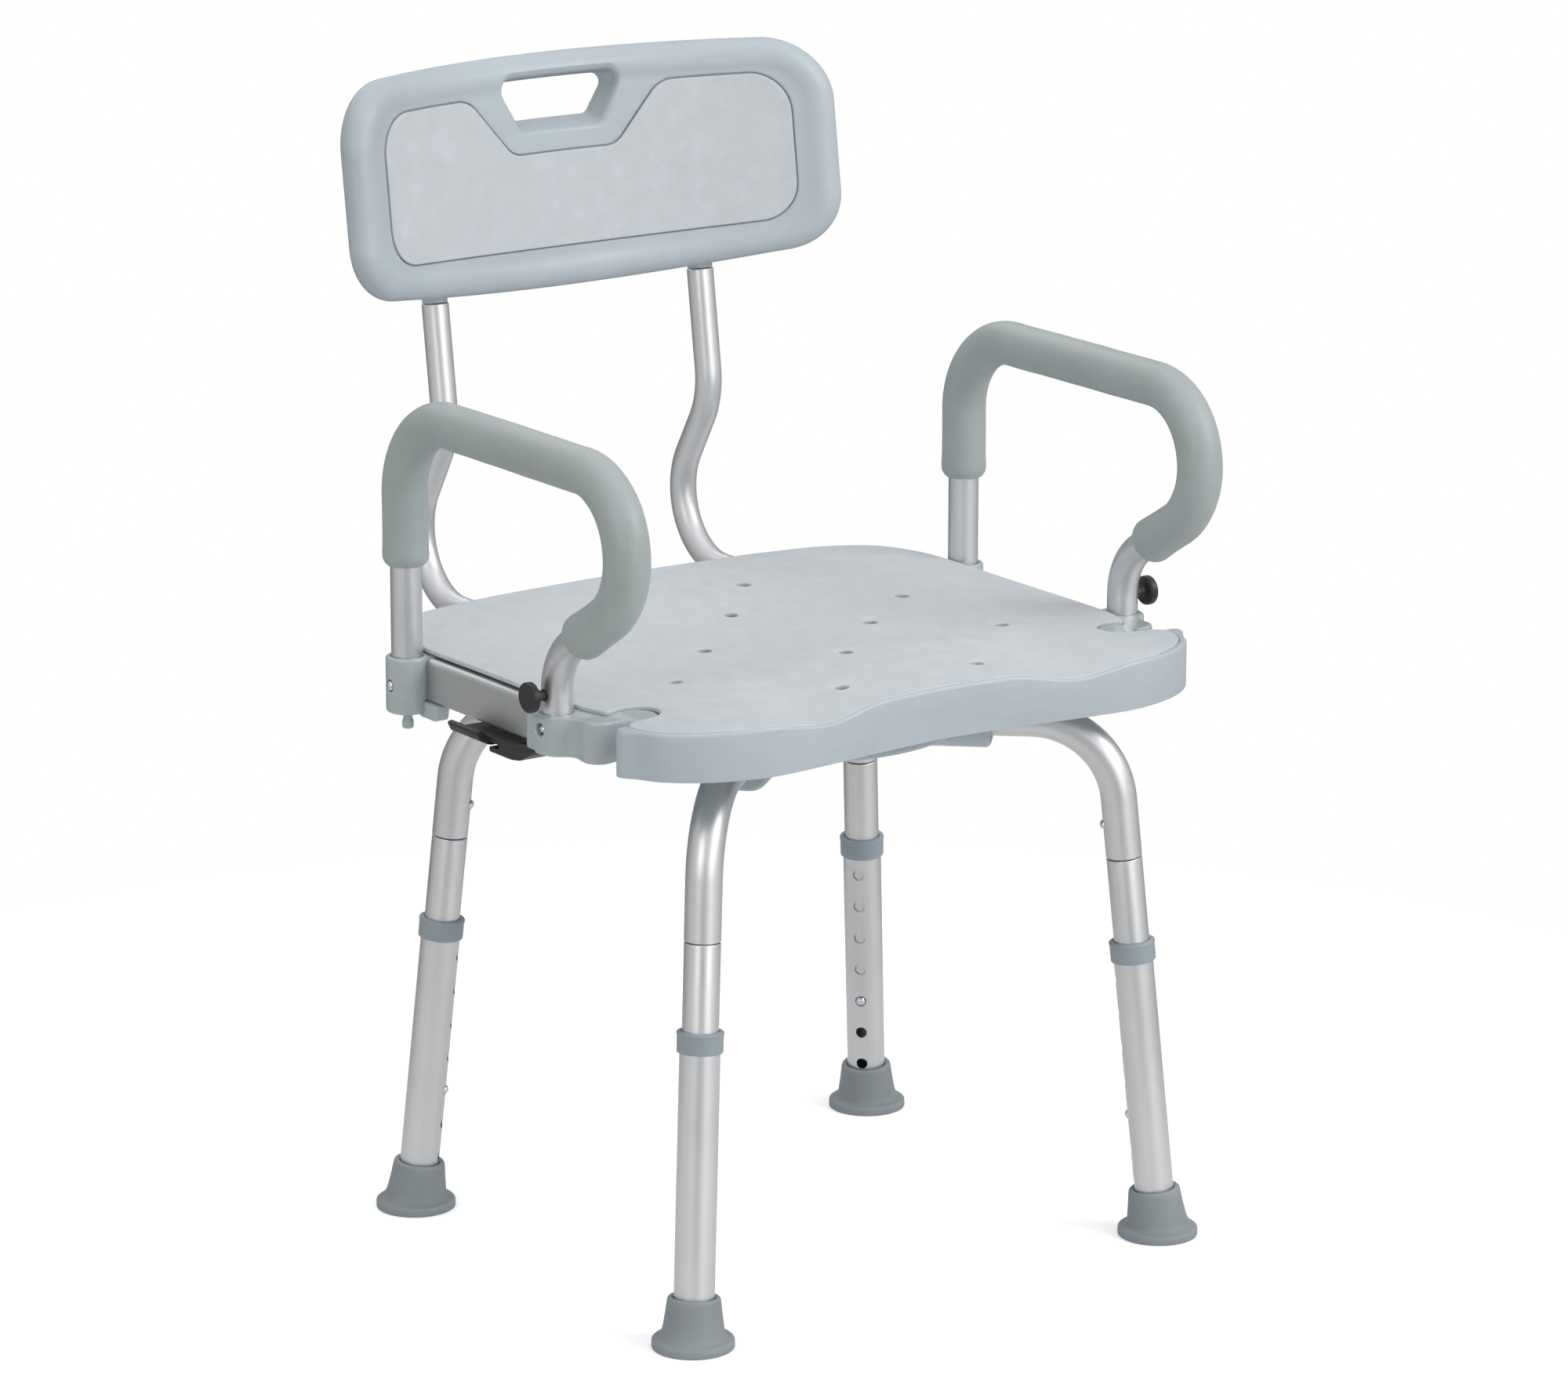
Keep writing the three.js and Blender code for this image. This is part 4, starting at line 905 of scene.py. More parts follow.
# ============================================================== base plate
PLATE_R, PLATE_LOW, PLATE_TOP = 130.0, 373.0, 389.0
PLATE_WEB = PLATE_LOW + 10  # underside between the rims
HUB_R, HUB_TOP = 92.0, 392.5
SADDLE_END, SADDLE_ROUND = 146.0, 4.0
LOCK_X, LOCK_Y, PIN_R = -103.5, -14.0, 3.6


def saddle():
    """Block under the plate round an upper tube, along x, with a rounded outer end."""
    outline = dense(rounded([(-24, PLATE_TOP - 0.6), (-24, 358, 16, 8), (24, 358, 16, 8),
                             (24, PLATE_TOP - 0.6)]))
    stations = [(0.0, 40)]
    for degrees in (90, 70, 50, 30, 12, 0):
        angle = math.radians(degrees)
        stations.append((-SADDLE_ROUND * (1 - math.sin(angle)),
                         SADDLE_END - SADDLE_ROUND + SADDLE_ROUND * math.cos(angle)))
    return along_x(stack(outline, stations))


def base_plate():
    body = turned([
        (0, PLATE_WEB), (44, PLATE_WEB, 1, 2), (44, PLATE_LOW, 1, 3), (48.5, PLATE_LOW, 1, 3),
        (48.5, PLATE_WEB, 1, 3), (119, PLATE_WEB, 2, 3), (123, PLATE_LOW, 1.5, 3),
        (PLATE_R, PLATE_LOW, 4.5, 6), (PLATE_R, PLATE_TOP, 2.5, 5), (HUB_R + 2, PLATE_TOP, 1, 3),
        (HUB_R, HUB_TOP, 0.8, 3), (0, HUB_TOP)], 144)
    turns = [turn_z(azimuth) for azimuth in LEGS.values()]
    quarters = [turn_z(90 * k) for k in range(4)]
    block = saddle()
    bore = cylinder((62.4, 0, ARCH_Z), (220, 0, ARCH_Z), ARCH_R + 0.5, 48)
    centre = cylinder((0, 0, 340), (0, 0, 410), 5.6, 32)
    pin_hole = cylinder((LOCK_X, LOCK_Y, 360), (LOCK_X, LOCK_Y, 400), PIN_R + 0.8, 28)
    body = boolean(body, [moved(block, turn) for turn in turns], "UNION")
    body = boolean(body, [moved(bore, turn) for turn in turns] + [centre]
                   + [moved(pin_hole, turn) for turn in quarters])
    # ribs between the saddles, under the plate
    rib = prism_x(rectangle(-1.5, 1.5, PLATE_LOW + 1, PLATE_WEB + 0.5), 48, 121)
    parts = [body] + [moved(rib, turn) for turn in quarters]
    # screw heads under each saddle, small bosses under the rim beside it
    head = turned([(0, 0), (3.8, 0, 1.3, 4), (3.8, 2.2), (0, 2.2)], 28)
    boss = turned([(0, 369.6), (4.2, 369.6, 1.8, 5), (4.2, 374), (0, 374)], 28)
    for turn in turns:
        parts += [moved(head, turn @ shift(radius, 0, 356.2)) for radius in (84.0, 128.0)]
        parts += [moved(boss, turn @ turn_z(offset) @ shift(125.0, 0, 0))
                  for offset in (16.5, -16.5)]
    return join(parts)


def hex_bolt():
    corners = [(9 * math.cos(math.radians(60 * k)), 9 * math.sin(math.radians(60 * k)))
               for k in range(6)]
    return join([
        prism(corners, 364.6, 370.8),
        disc(9.0, 370.8, 372.4, 0.4, 40),
        disc(5.0, 372, 404, 0.3, 32),
        turned([(0, 403.5), (9.4, 403.5, 0.4, 2), (9.4, 408.8, 3.5, 5), (0, 408.8)], 40)])


finish_piece("swivel_base", base_plate(), "base", "base", "base_plate", "plastic", angle=32)
finish_piece("lower_race", washer(56, 88, HUB_TOP + 0.4, HUB_TOP + 2, 96), "steel", "base",
             "turntable_lower_ring", "steel")
finish_piece("slide_ring", washer(64, 82, HUB_TOP + 2.4, HUB_TOP + 4.4, 96), "bearing", "base",
             "turntable_bearing", "bearing")
finish_piece("upper_race", washer(56, 88, HUB_TOP + 4.8, 399.1, 96), "steel", "seat",
             "turntable_upper_ring", "steel")
finish_piece("pivot_bolt", hex_bolt(), "steel", "base", "centre_bolt", "steel")

# ==================================================================== seat
WALL_LOW, SEAT_RIM = 399.5, 432.8
CROWN, FRONT_DIP = 3.2, 7.0  # rise in the middle, fall of the two hollows at the front
PAD_T, SHELL_T = 3.4, 2.8
SHELL_TOP = SEAT_RIM - 0.4
SHELL_CEILING = SHELL_TOP - PAD_T - SHELL_T
DRAINS = [(57, -147), (-57, -147), (0, -72), (139, -67), (-139, -67), (71, -3), (-71, -3),
          (0, 67), (137, 49), (-137, 49), (54, 129), (-54, 129)]
ARM_X, POST_REAR, POST_FRONT = 240.5, 115.0, -75.0
BACK_X, BACK_R, BACK_Z = 115.0, 9.8, 417.0  # back tubes where they enter the seat
BACK_FRONT, BACK_BUTTON_Y = 121.0, 187.0  # y of the front end and of the button
LEVER_Y, LEVER_Z = -36.0, 392.6


def seat_top(x, y):
    """Height of the sitting surface."""
    crown = CROWN * np.maximum(0, 1 - (x / 215) ** 2)
    across = (np.abs(x) - 105) / 55
    across = np.where(np.abs(across) < 1, np.cos(np.pi * across / 2) ** 2, 0)
    forward = smoothstep(np.clip((-75 - y) / 110, 0, 1))
    # shallow dish: two lobes with a low saddle between them
    dish = 0.0
    for side in (-1, 1):
        radius = np.sqrt(((x - side * 82) / 122) ** 2 + ((y - 22) / 118) ** 2)
        dish = dish + smoothstep(np.clip((1.0 - radius) / 0.55, 0, 1)) * 3.5
    dish = 4.6 * np.tanh(dish / 4.6)
    return SEAT_RIM + crown - FRONT_DIP * across * forward - dish


# (x, y[, corner radius]) from the middle of the rear edge round to the front
PAD_OUTLINE = spline(mirror_half([
    (0, 204), (60, 203.4), (120, 202), (178, 194), (209, 177), (223, 150), (227, 120),
    (227, 40), (227, -50), (225.4, -84), (220, -103.2, 3.0), (205, -100.6), (195, -104.4),
    (189.6, -111.4), (188.5, -117.5), (190.8, -125.2), (197.6, -131.2), (209, -133.4),
    (220, -134.8), (228.2, -141.4, 3.6), (226.5, -153), (219.5, -166), (206.4, -178.6),
    (190, -188.3), (171, -197.0), (150, -200.2), (105, -196.9), (60, -191.5), (0, -186.9),
]), 2.2)
SHELL_OUTLINE = spline(mirror_half([
    (0, 207), (60, 206.5), (121, 205), (179, 197.5), (211, 180.5), (223, 157),
    (224.4, 136, 3.4), (209, 134, 1.2), (209, -138.5, 1.2), (240.3, -138.7, 6.0),
    (237.6, -148), (231.5, -156), (223.4, -170), (209.5, -183), (192, -193.2), (171, -200.2),
    (150, -203.4), (105, -200), (60, -194.6), (0, -190),
]), 2.2)
# room cut from the shell for the right front arm bracket, (x, y)
BRACKET_ROOM = [
    (188.6, -117), (190.5, -126), (198, -132.6), (207, -133.8), (220, -133), (236, -131),
    (262, -128), (262, -70), (236, -66), (226, -92), (214, -99.6), (204, -100.6),
    (195, -104.6), (190, -111),
]
# (x0, x1, y0, y1) of the ribs under the seat
SEAT_RIBS = [(90, 207, 28, 31), (-207, -90, 28, 31), (-42, -39, -192, -80),
             (39, 42, -192, -80), (-42, -39, 80, 204), (39, 42, 80, 204)]


def seat_pad():
    holes = [[(x + 5.0 * math.cos(-a), y + 5.0 * math.sin(-a)) for a in angles(36)]
             for x, y in DRAINS]
    part = plate(PAD_OUTLINE, holes, SEAT_RIM - PAD_T, SEAT_RIM, 0.95)
    verts, faces, uvs = grid_cut(part, xs=np.arange(-224, 225, 7.0), ys=np.arange(-196, 204, 7.0))
    verts[:, 2] += seat_top(verts[:, 0], verts[:, 1]) - SEAT_RIM
    # the sheet sinks very slightly towards each drain
    for x, y in DRAINS:
        distance = np.hypot(verts[:, 0] - x, verts[:, 1] - y)
        verts[:, 2] -= 0.55 * np.exp(-((distance - 5) / 3.2) ** 2)
    return verts, faces, uvs


def back_tube_bores(side):
    """Cutters for one back tube and its button; side is 1 right, -1 left."""
    x = side * BACK_X
    return [cylinder((x, BACK_FRONT - 0.6, BACK_Z), (x, 260, BACK_Z), BACK_R + 0.7, 40),
            cylinder((x, BACK_BUTTON_Y, 380), (x, BACK_BUTTON_Y, BACK_Z), 4.3, 28)]


def seat_upper():
    """Walls and top of the shell, cut for pad, brackets, back tubes and drains."""
    stations = [(-4.6, SHELL_CEILING), (-3.6, SHELL_CEILING - 0.3), (-3.0, SHELL_CEILING - 1.2),
                (-3.0, WALL_LOW + 0.6), (-2.5, WALL_LOW), (-0.6, WALL_LOW),
                (-0.15, WALL_LOW + 0.2), (0, WALL_LOW + 0.7)]
    stations += [(-2.0 + 2.0 * math.cos(a), SHELL_TOP - 2.6 + 2.6 * math.sin(a))
                 for a in quarter(6)]
    # pocket for the pad, with a softened lip
    floor_z = SEAT_RIM - PAD_T - 0.4
    tools = [stack(PAD_OUTLINE, [
        (0.45, floor_z), (0.45, SHELL_TOP - 0.5), (0.6, SHELL_TOP - 0.15),
        (0.9, SHELL_TOP + 0.05), (1.2, SHELL_TOP + 0.5), (1.2, SHELL_TOP + 6)])]
    for side in (1, -1):
        tools.append(prism(spline([(side * x, y) for x, y in BRACKET_ROOM], 3), 380, 460))
        tools += back_tube_bores(side)
    tools += [cylinder((x, y, 380), (x, y, 460), 4.4, 28) for x, y in DRAINS]
    return boolean(stack(SHELL_OUTLINE, stations), tools)


def seat_underside():
    """Turntable wall and floor, ribs, back tube sockets, pin guide and wire lug."""
    top = SHELL_CEILING + 0.4
    parts = [washer(88, 92, WALL_LOW, top, 96, edge=0.5),
             lathe(rectangle(5.7, 89, WALL_LOW, WALL_LOW + 3.5), 96)]
    parts += [prism(rectangle(*rib), 406, top) for rib in SEAT_RIBS]
    for side in (-1, 1):
        left, right = side * BACK_X - 13, side * BACK_X + 13
        socket = rounded([(left, top), (left, 403.6, 10, 6), (right, 403.6, 10, 6), (right, top)])
        parts.append(boolean(prism_y(socket, BACK_FRONT - 5, 203.8), back_tube_bores(side)))
    guide = washer(PIN_R + 0.7, 8, 411, top, 36, edge=0.5)
    parts.append(moved(guide, shift(LOCK_X, LOCK_Y, 0)))
    lug = prism_x(rounded([(LEVER_Y - 8, 415), (LEVER_Y - 8, 387.6, 6, 5),
                           (LEVER_Y + 8, 387.6, 6, 5), (LEVER_Y + 8, 415)]), -208.9, -199)
    bore = cylinder((-260, LEVER_Y, LEVER_Z), (-150, LEVER_Y, LEVER_Z), 2.6, 24)
    parts.append(boolean(lug, [bore]))
    return join(parts)


def seat_shell():
    """Whole shell; its upper part follows the sitting surface, below fixed_z it stays."""
    part = join([seat_upper(), seat_underside()])
    verts, faces, uvs = grid_cut(part, xs=np.arange(-220, 221, 8.0), ys=np.arange(-195, 206, 8.0))
    fixed_z = 412.0
    lift = seat_top(verts[:, 0], verts[:, 1]) - SEAT_RIM
    verts[:, 2] += lift * np.clip((verts[:, 2] - fixed_z) / (SHELL_TOP - fixed_z), 0, 1.2)
    return verts, faces, uvs


finish_piece("seat_shell", seat_shell(), "plastic", "seat", "seat_body", "plastic", angle=34)
finish_piece("seat_foam_sheet", seat_pad(), "pad", "seat", "seat_pad", "pad", angle=45)

# ====================================================== side rails and brackets
# Right-hand pieces; the left ones are mirrored.
ARM_R = 11.0
POST_BORE_R = ARM_R + 0.5
SOCKET_R = 15.0  # rear bracket
REAR_BUTTON_Z, FRONT_BUTTON_Z, KNOB_Z = 409, 419.5, 443
FRONT_FACE_X = 255.3  # flat outer face of the front bracket
RAIL_TAIL = rounded(rectangle(214, 231, 400.6, 424.2, 1, 3))  # bracket end inside the rail


def side_rail():
    """Hollow section, drawn in (x, z), running along y."""
    outer = array(dense(rounded([(211.5, 398, 1.8, 4), (233.5, 398, 1.8, 4),
                                 (233.5, 428, 4.2, 7), (211.5, 428, 2.5, 4)]), 1.2))
    inner = grow(outer, -1.9)
    front, rear = -57.6, 100.6
    stations = [(outer, y) for y in (front, -20, 20, 60, rear)] + [(inner, rear), (inner, front)]
    return weld(loft([np.column_stack([points[:, 0], np.full(len(points), y), points[:, 1]])
                      for points, y in stations], loop=True))


def pad_clearance():
    return prism(grow(PAD_OUTLINE, 0.5), 428.6, 470)


# (x, y[, corner radius])
FRONT_BRACKET_OUTLINE = [
    (255.3, -58.2, 2.6), (255.4, -66), (255.2, -76), (252.6, -84.6), (247.6, -89.4),
    (243.4, -92.2), (240.9, -96.6), (240.2, -102.5), (240.0, -108), (237.2, -113.6),
    (231.6, -117.4), (225.4, -118.6), (219, -121.4), (213.4, -127.8), (207.4, -131.4),
    (200.2, -131.6), (193.8, -127.8), (190.2, -121.2), (189.9, -114.4), (193.2, -107.4),
    (199.4, -102.9), (206.4, -101.9), (212.6, -101.4), (214.6, -96), (213.4, -86),
    (212.2, -70), (212, -58.2, 1.4),
]


def front_bracket():
    """Socket, neck, bulge and tongue in one moulding."""
    low_z, high_z = 402.0, 430.0
    part = plate(spline(FRONT_BRACKET_OUTLINE, 1.3), [], low_z, high_z, 2.3, resolution=5)
    verts, faces, uvs = grid_cut(part, xs=np.arange(192, 255, 3.0), ys=np.arange(-131, -59, 3.0))
    x, y = verts[:, 0], verts[:, 1]
    height = np.clip((verts[:, 2] - low_z) / (high_z - low_z), 0, 1)

    def spot(centre_x, centre_y, radius, softness):
        distance = np.hypot(x - centre_x, y - centre_y)
        return 1 / (1 + np.exp((distance - radius) / softness))

    bulge = spot(229, -106.5, 11.5, 1.6)
    neck = spot(235.5, -94.0, 5.5, 2.0)
    tongue = 1 / (1 + np.exp((x - 214) / 1.8))
    corner = 1.6 * np.clip((x - 236) / 18, 0, 1) * np.clip((y + 84) / 20, 0, 1)
    # lift of the underside and of the top
    low = -1.8 * bulge * (1 - tongue) + 8.6 * tongue + np.where(y > -70, corner, 0)
    high = -1.2 * neck * (1 - tongue) - 0.4 * bulge + 1.4 * tongue
    verts[:, 2] += (1 - height) * low + height * high

    post = cylinder((ARM_X, POST_FRONT, 402.9), (ARM_X, POST_FRONT, 460), POST_BORE_R, 56)
    # countersunk button hole in the flat face
    hole = lathe([(0, -14), (4.7, -14), (4.7, -0.9), (5.6, 0.02), (6.0, 0.5), (6.0, 6), (0, 6)],
                 40, frame_to((FRONT_FACE_X, POST_FRONT, FRONT_BUTTON_Z), (1, 0, 0)))
    body = boolean((verts, faces, uvs), [post, hole, pad_clearance()])
    return join([body, prism_y(RAIL_TAIL, -62, -38)])


def rear_bracket():
    """Round socket with a web and tail to the rail, a hook and a stem below."""
    at_post = shift(ARM_X, POST_REAR, 0)
    socket = turned([
        (0, 389), (SOCKET_R, 389, 2.4, 5), (SOCKET_R, 429, 2.2, 6), (11.6, 429, 0.5, 3),
        (11.6, 391.6), (0, 391.6)], 72, at_post)
    web = prism(rounded([
        (212, 101.2, 1.2, 3), (236, 101.2, 1, 2), (240.5, 103, 1, 2), (240.5, 118, 2, 3),
        (226, 127.6, 7, 6), (214, 124, 3, 4), (212, 118, 2, 3)]), 399, 428.6)
    post = cylinder((ARM_X, POST_REAR, 391.6), (ARM_X, POST_REAR, 460), POST_BORE_R, 56)
    hole = lathe([(0, -14), (4.3, -14), (4.3, -0.9), (5.1, 0.0), (5.6, 0.6), (5.6, 6), (0, 6)],
                 40, frame_to((ARM_X + SOCKET_R, POST_REAR, REAR_BUTTON_Z), (1, 0, 0)))
    body = boolean(boolean(socket, [web], "UNION"), [post, hole, pad_clearance()])
    hook = prism_x(rounded([
        (82, 397.4, 1, 2), (84, 386.5, 4, 5), (108, 386.5, 6, 5), (112, 402), (104, 402),
        (104, 397.4, 1, 2)]), 227, 236)
    stem = turned([(0, 376.6), (4.0, 376.6, 1.4, 4), (4.0, 382, 0.5, 2), (3.2, 384, 0.5, 2),
                   (3.2, 390), (0, 390)], 32, at_post)
    return join([body, prism_y(RAIL_TAIL, 84, 103), hook, stem])


# ==================================================================== arms
ARM_TOP = 602.0
REAR_BEND, FRONT_BEND, FOOT_BEND = 58, 52, 45.0
REAR_BEND_Z = ARM_TOP - REAR_BEND
FRONT_BEND_Y = -108
FRONT_BEND_END = 238.5  # degrees
SLEEVE_START_Z = 494.0
SLEEVE_R = 16.0


def arm_path(sleeve=False):
    """Up the rear post, forward along the top, down and back to the front post.

    The sleeve follows the part between, in shorter steps.
    """
    path = Path(lambda u, v: (ARM_X, u, v))
    path.at(POST_REAR, SLEEVE_START_Z if sleeve else 392.0, 0, 1)
    if sleeve:
        for k in range(1, 16):
            z = SLEEVE_START_Z + k * (REAR_BEND_Z - SLEEVE_START_Z) / 16
            path.at(POST_REAR, z, 0, 1)
    path.at(POST_REAR, REAR_BEND_Z, 0, 1)
    top_rear = POST_REAR - REAR_BEND
    path.arc(top_rear, REAR_BEND_Z, REAR_BEND, 0, 90, 1.0 if sleeve else 2.5)
    if sleeve:
        for k in range(1, 24):
            path.at(top_rear + k * (FRONT_BEND_Y - top_rear) / 24, ARM_TOP, -1, 0)
    path.at(FRONT_BEND_Y, ARM_TOP, -1, 0)
    bend_z = ARM_TOP - FRONT_BEND
    path.arc(FRONT_BEND_Y, bend_z, FRONT_BEND, 90, FRONT_BEND_END, 1.5 if sleeve else 2.5)
    # straight from the end of the front bend to the start of the foot bend
    angle = math.radians(FRONT_BEND_END)
    cos, sin = math.cos(angle), math.sin(angle)
    along = (-sin, cos)
    side = (along[1], -along[0])
    end = (FRONT_BEND_Y + FRONT_BEND * cos, bend_z + FRONT_BEND * sin)
    run = (POST_FRONT - FOOT_BEND - end[0] - FOOT_BEND * side[0]) / along[0]
    if sleeve:
        for k in range(1, 6):
            path.at(end[0] + along[0] * (run - 8) * k / 5,
                    end[1] + along[1] * (run - 8) * k / 5, *along)
        return path.points
    start = (end[0] + along[0] * run, end[1] + along[1] * run)
    path.at(*start, *along)
    path.arc(start[0] + side[0] * FOOT_BEND, start[1] + side[1] * FOOT_BEND, FOOT_BEND,
             math.degrees(math.atan2(-side[1], -side[0])), 0, 2.5)
    path.at(POST_FRONT, 403.5, 0, -1)
    return path.points


def arm_tube():
    tube = pipe(arm_path(), (1, 0, 0), ARM_R, ARM_R - 1.4, 56, 0.5)
    holes = ((POST_REAR, REAR_BUTTON_Z), (POST_FRONT, FRONT_BUTTON_Z), (POST_FRONT, KNOB_Z))
    return boolean(tube, [cylinder((ARM_X + 3, y, z), (ARM_X + 30, y, z), BUTTON_HOLE_R, 28)
                          for y, z in holes])


def arm_sleeve():
    """Foam sleeve with rolled ends and fine creases inside the rear bend."""
    sides = 60
    normal = np.array([1.0, 0, 0])
    path = arm_path(sleeve=True)
    length = lengths([point for point, _ in path])
    total = length[-1]
    # the rear bend, as lengths along the sleeve
    bend_start = REAR_BEND_Z - SLEEVE_START_Z
    bend_end = bend_start + math.pi / 2 * REAR_BEND
    bend_centre = array((ARM_X, POST_REAR - REAR_BEND, REAR_BEND_Z))

    def radius_at(s, angle, inward):
        """inward is 1 on the side towards the centre of the rear bend."""
        radius = SLEEVE_R
        for from_end in (s, total - s):
            if from_end < 7.0:
                radius -= 3.0 * (1 - from_end / 7.0) ** 2.4
        # both ends flare a little before they roll in
        radius += (0.35 * math.exp(-(((s - 8) / 6) ** 2))
                   + 0.5 * math.exp(-(((total - s - 9) / 7) ** 2)))
        squeeze = max(0.0, inward) ** 1.5
        if squeeze > 0 and bend_start - 26 < s < bend_end + 10:
            share = (s - (bend_start - 26)) / (bend_end - bend_start + 36)
            window = math.sin(math.pi * share) ** 0.7
            wave = 0.5 + 0.5 * math.sin(s * 2 * math.pi / 2.35 + 0.6 * math.sin(s * 0.21))
            radius -= squeeze * window * (0.30 * wave**3)
            radius -= squeeze * window * 0.35
        # very slow unevenness of cut foam
        radius += (0.10 * math.sin(s * 0.045 + 2 * math.cos(angle))
                   + 0.06 * math.sin(s * 0.13 + 3 * angle))
        return radius

    # (point, tangent, length) rows, close together where the creases are
    rows = []
    for (p, p_dir), (q, q_dir), s0, s1 in zip(path[:-1], path[1:], length[:-1], length[1:]):
        step = 0.8 if bend_start - 28 < s0 < bend_end + 12 else 4.0
        count = max(1, int((s1 - s0) / step))
        for j in range(count):
            t = j / count
            rows.append((p * (1 - t) + q * t, unit(p_dir * (1 - t) + q_dir * t),
                         s0 + (s1 - s0) * t))
    rows.append((*path[-1], total))
    # extra rows close to both ends
    for (point, tangent, s), sign in ((rows[0], 1), (rows[-1], -1)):
        rows += [(point + tangent * sign * e, tangent, s + sign * e)
                 for e in (0.35, 0.9, 1.7, 2.7, 4.0, 5.4)]
    rows.sort(key=lambda row: row[2])

    rings, along = [], []
    for point, tangent, s in rows:
        across = np.cross(normal, tangent)
        if s <= bend_start:
            inward = array((0, -1, 0))
        elif s < bend_end + 12:
            inward = unit(bend_centre - point)
        else:
            inward = np.zeros(3)
        ring = []
        for angle in angles(sides):
            outward = math.cos(angle) * across + math.sin(angle) * normal
            ring.append(point + outward * radius_at(s, angle, float(outward @ inward)))
        rings.append(ring)
        along.append(s * 0.01)

    def put_inner(point, tangent, radius, s):
        rings.append(circle(point, tangent, normal, radius, sides))
        along.append(s * 0.01)

    # inner wall, just clear of the tube
    start, start_dir, _ = rows[0]
    end, end_dir, end_s = rows[-1]
    put_inner(end + end_dir * 0.15, end_dir, 12.4, end_s)
    put_inner(end + end_dir * -1.0, end_dir, 11.7, end_s)
    for (point, tangent), s in reversed(list(zip(path, length))):
        if 3 < s < total - 3:
            put_inner(point, tangent, 11.6, s)
    put_inner(start + start_dir * 1.0, start_dir, 11.7, 0.0)
    put_inner(start + start_dir * -0.15, start_dir, 12.4, 0.0)
    return loft(rings, loop=True, along=along)


def release_knob():
    profile = [(0, 7.5), (3.4, 7.5)] + rounded([
        (3.7, 7.9), (3.7, 14.9, 0.2, 2), (4.7, 15.2, 0.2, 2), (4.7, 17.2, 0.4, 2),
        (3.9, 17.8, 0.2, 2), (3.9, 18.7, 0.4, 3), (8.8, 18.9, 0.6, 3), (10.5, 19.9, 0.9, 4),
        (10.5, 24.2, 1.0, 5), (9.0, 25.0, 0.8, 4), (6.5, 24.7, 0.5, 3), (0, 24.6)], closed=False)
    return lathe(profile, 56, frame_to((ARM_X, POST_FRONT, KNOB_Z), (1, 0, 0)))


REAR_BALL = moved(SNAP, frame_to((ARM_X + 16.2, POST_REAR, REAR_BUTTON_Z), (1, 0, 0)))
FRONT_BALL = moved(snap_button(3.0),
                   frame_to((ARM_X + 13.6, POST_FRONT, FRONT_BUTTON_Z), (1, 0, 0)))

# name, part, material, body, CAD piece, slot[, sharp angle]
finish_sides([
    ("rail", side_rail(), "rail", "seat", "side_rail", "rail", 30),
    ("front_bracket", front_bracket(), "bracket", "seat", "front_arm_bracket", "bracket", 34),
    ("rear_bracket", rear_bracket(), "bracket", "seat", "rear_arm_bracket", "bracket", 32),
    ("arm", arm_tube(), "tube", "arm_{}", "arm_tube", "tube"),
    ("arm_sleeve", arm_sleeve(), "foam", "arm_{}", "arm_pad", "foam", 60),
    ("knob", release_knob(), "black", "arm_knob_body_{}", "arm_release_knob",
     "black_plastic", 40),
    ("arm_rear_ball", REAR_BALL, "chrome", "arm_rear_button_body_{}", "arm_rear_button",
     "chrome_button"),
    ("arm_front_ball", FRONT_BALL, "chrome", "arm_front_button_body_{}", "arm_front_button",
     "chrome_button"),
])

# ==================================================================== back
# The panel is drawn flat in (x, z, h), h to the rear, then curved and leant by bend.
PANEL_CURVE_R, PANEL_Y, PANEL_REF_Z, PANEL_LEAN = 400.0, 290.0, 736.0, 0.14
PANEL_HALF_T = 12
TUBE_TOP_Y, TUBE_TOP_Z = 273.0, 637.0
LOWER_LEAN, UPPER_LEAN = 31, 8  # degrees, slope of the tube's two upright straights
LOW_BEND, HIGH_BEND = 52, 60.0


def back_path():
    """From the seat rearwards, up through a bend, then a slight bend to the panel."""
    path = Path(lambda u, v: (BACK_X, u, v))
    bend_y = 243.5
    path.at(BACK_FRONT, BACK_Z, 1, 0)
    path.at(bend_y, BACK_Z, 1, 0)
    path.arc(bend_y, BACK_Z + LOW_BEND, LOW_BEND, -90, LOWER_LEAN, 2.5)
    low, high = math.radians(LOWER_LEAN), math.radians(UPPER_LEAN)
    start = array((bend_y + LOW_BEND * math.cos(low), BACK_Z + LOW_BEND + LOW_BEND * math.sin(low)))
    low_dir = array((-math.sin(low), math.cos(low)))
    high_dir = array((math.sin(high), math.cos(high)))
    top = array((TUBE_TOP_Y, TUBE_TOP_Z))
    # the two straights meet at crossing
    det = low_dir[0] * high_dir[1] - low_dir[1] * high_dir[0]
    run = ((top[0] - start[0]) * high_dir[1] - (top[1] - start[1]) * high_dir[0]) / det
    crossing = start + low_dir * run
    bend_start = crossing - low_dir * (HIGH_BEND * math.tan((low + high) / 2))
    centre = bend_start + array((low_dir[1], -low_dir[0])) * HIGH_BEND
    path.at(*bend_start, *low_dir)
    path.arc(*centre, HIGH_BEND, 180 + LOWER_LEAN, 180 - UPPER_LEAN, 2.5)
    path.at(*top, *high_dir)
    return path.points


def back_tube():
    tube = pipe(back_path(), (1, 0, 0), BACK_R, BACK_R - 1.3, 52, 0.55)
    return boolean(tube, [cylinder((BACK_X, BACK_BUTTON_Y, 390),
                                   (BACK_X, BACK_BUTTON_Y, BACK_Z - 3), BUTTON_HOLE_R, 28)])


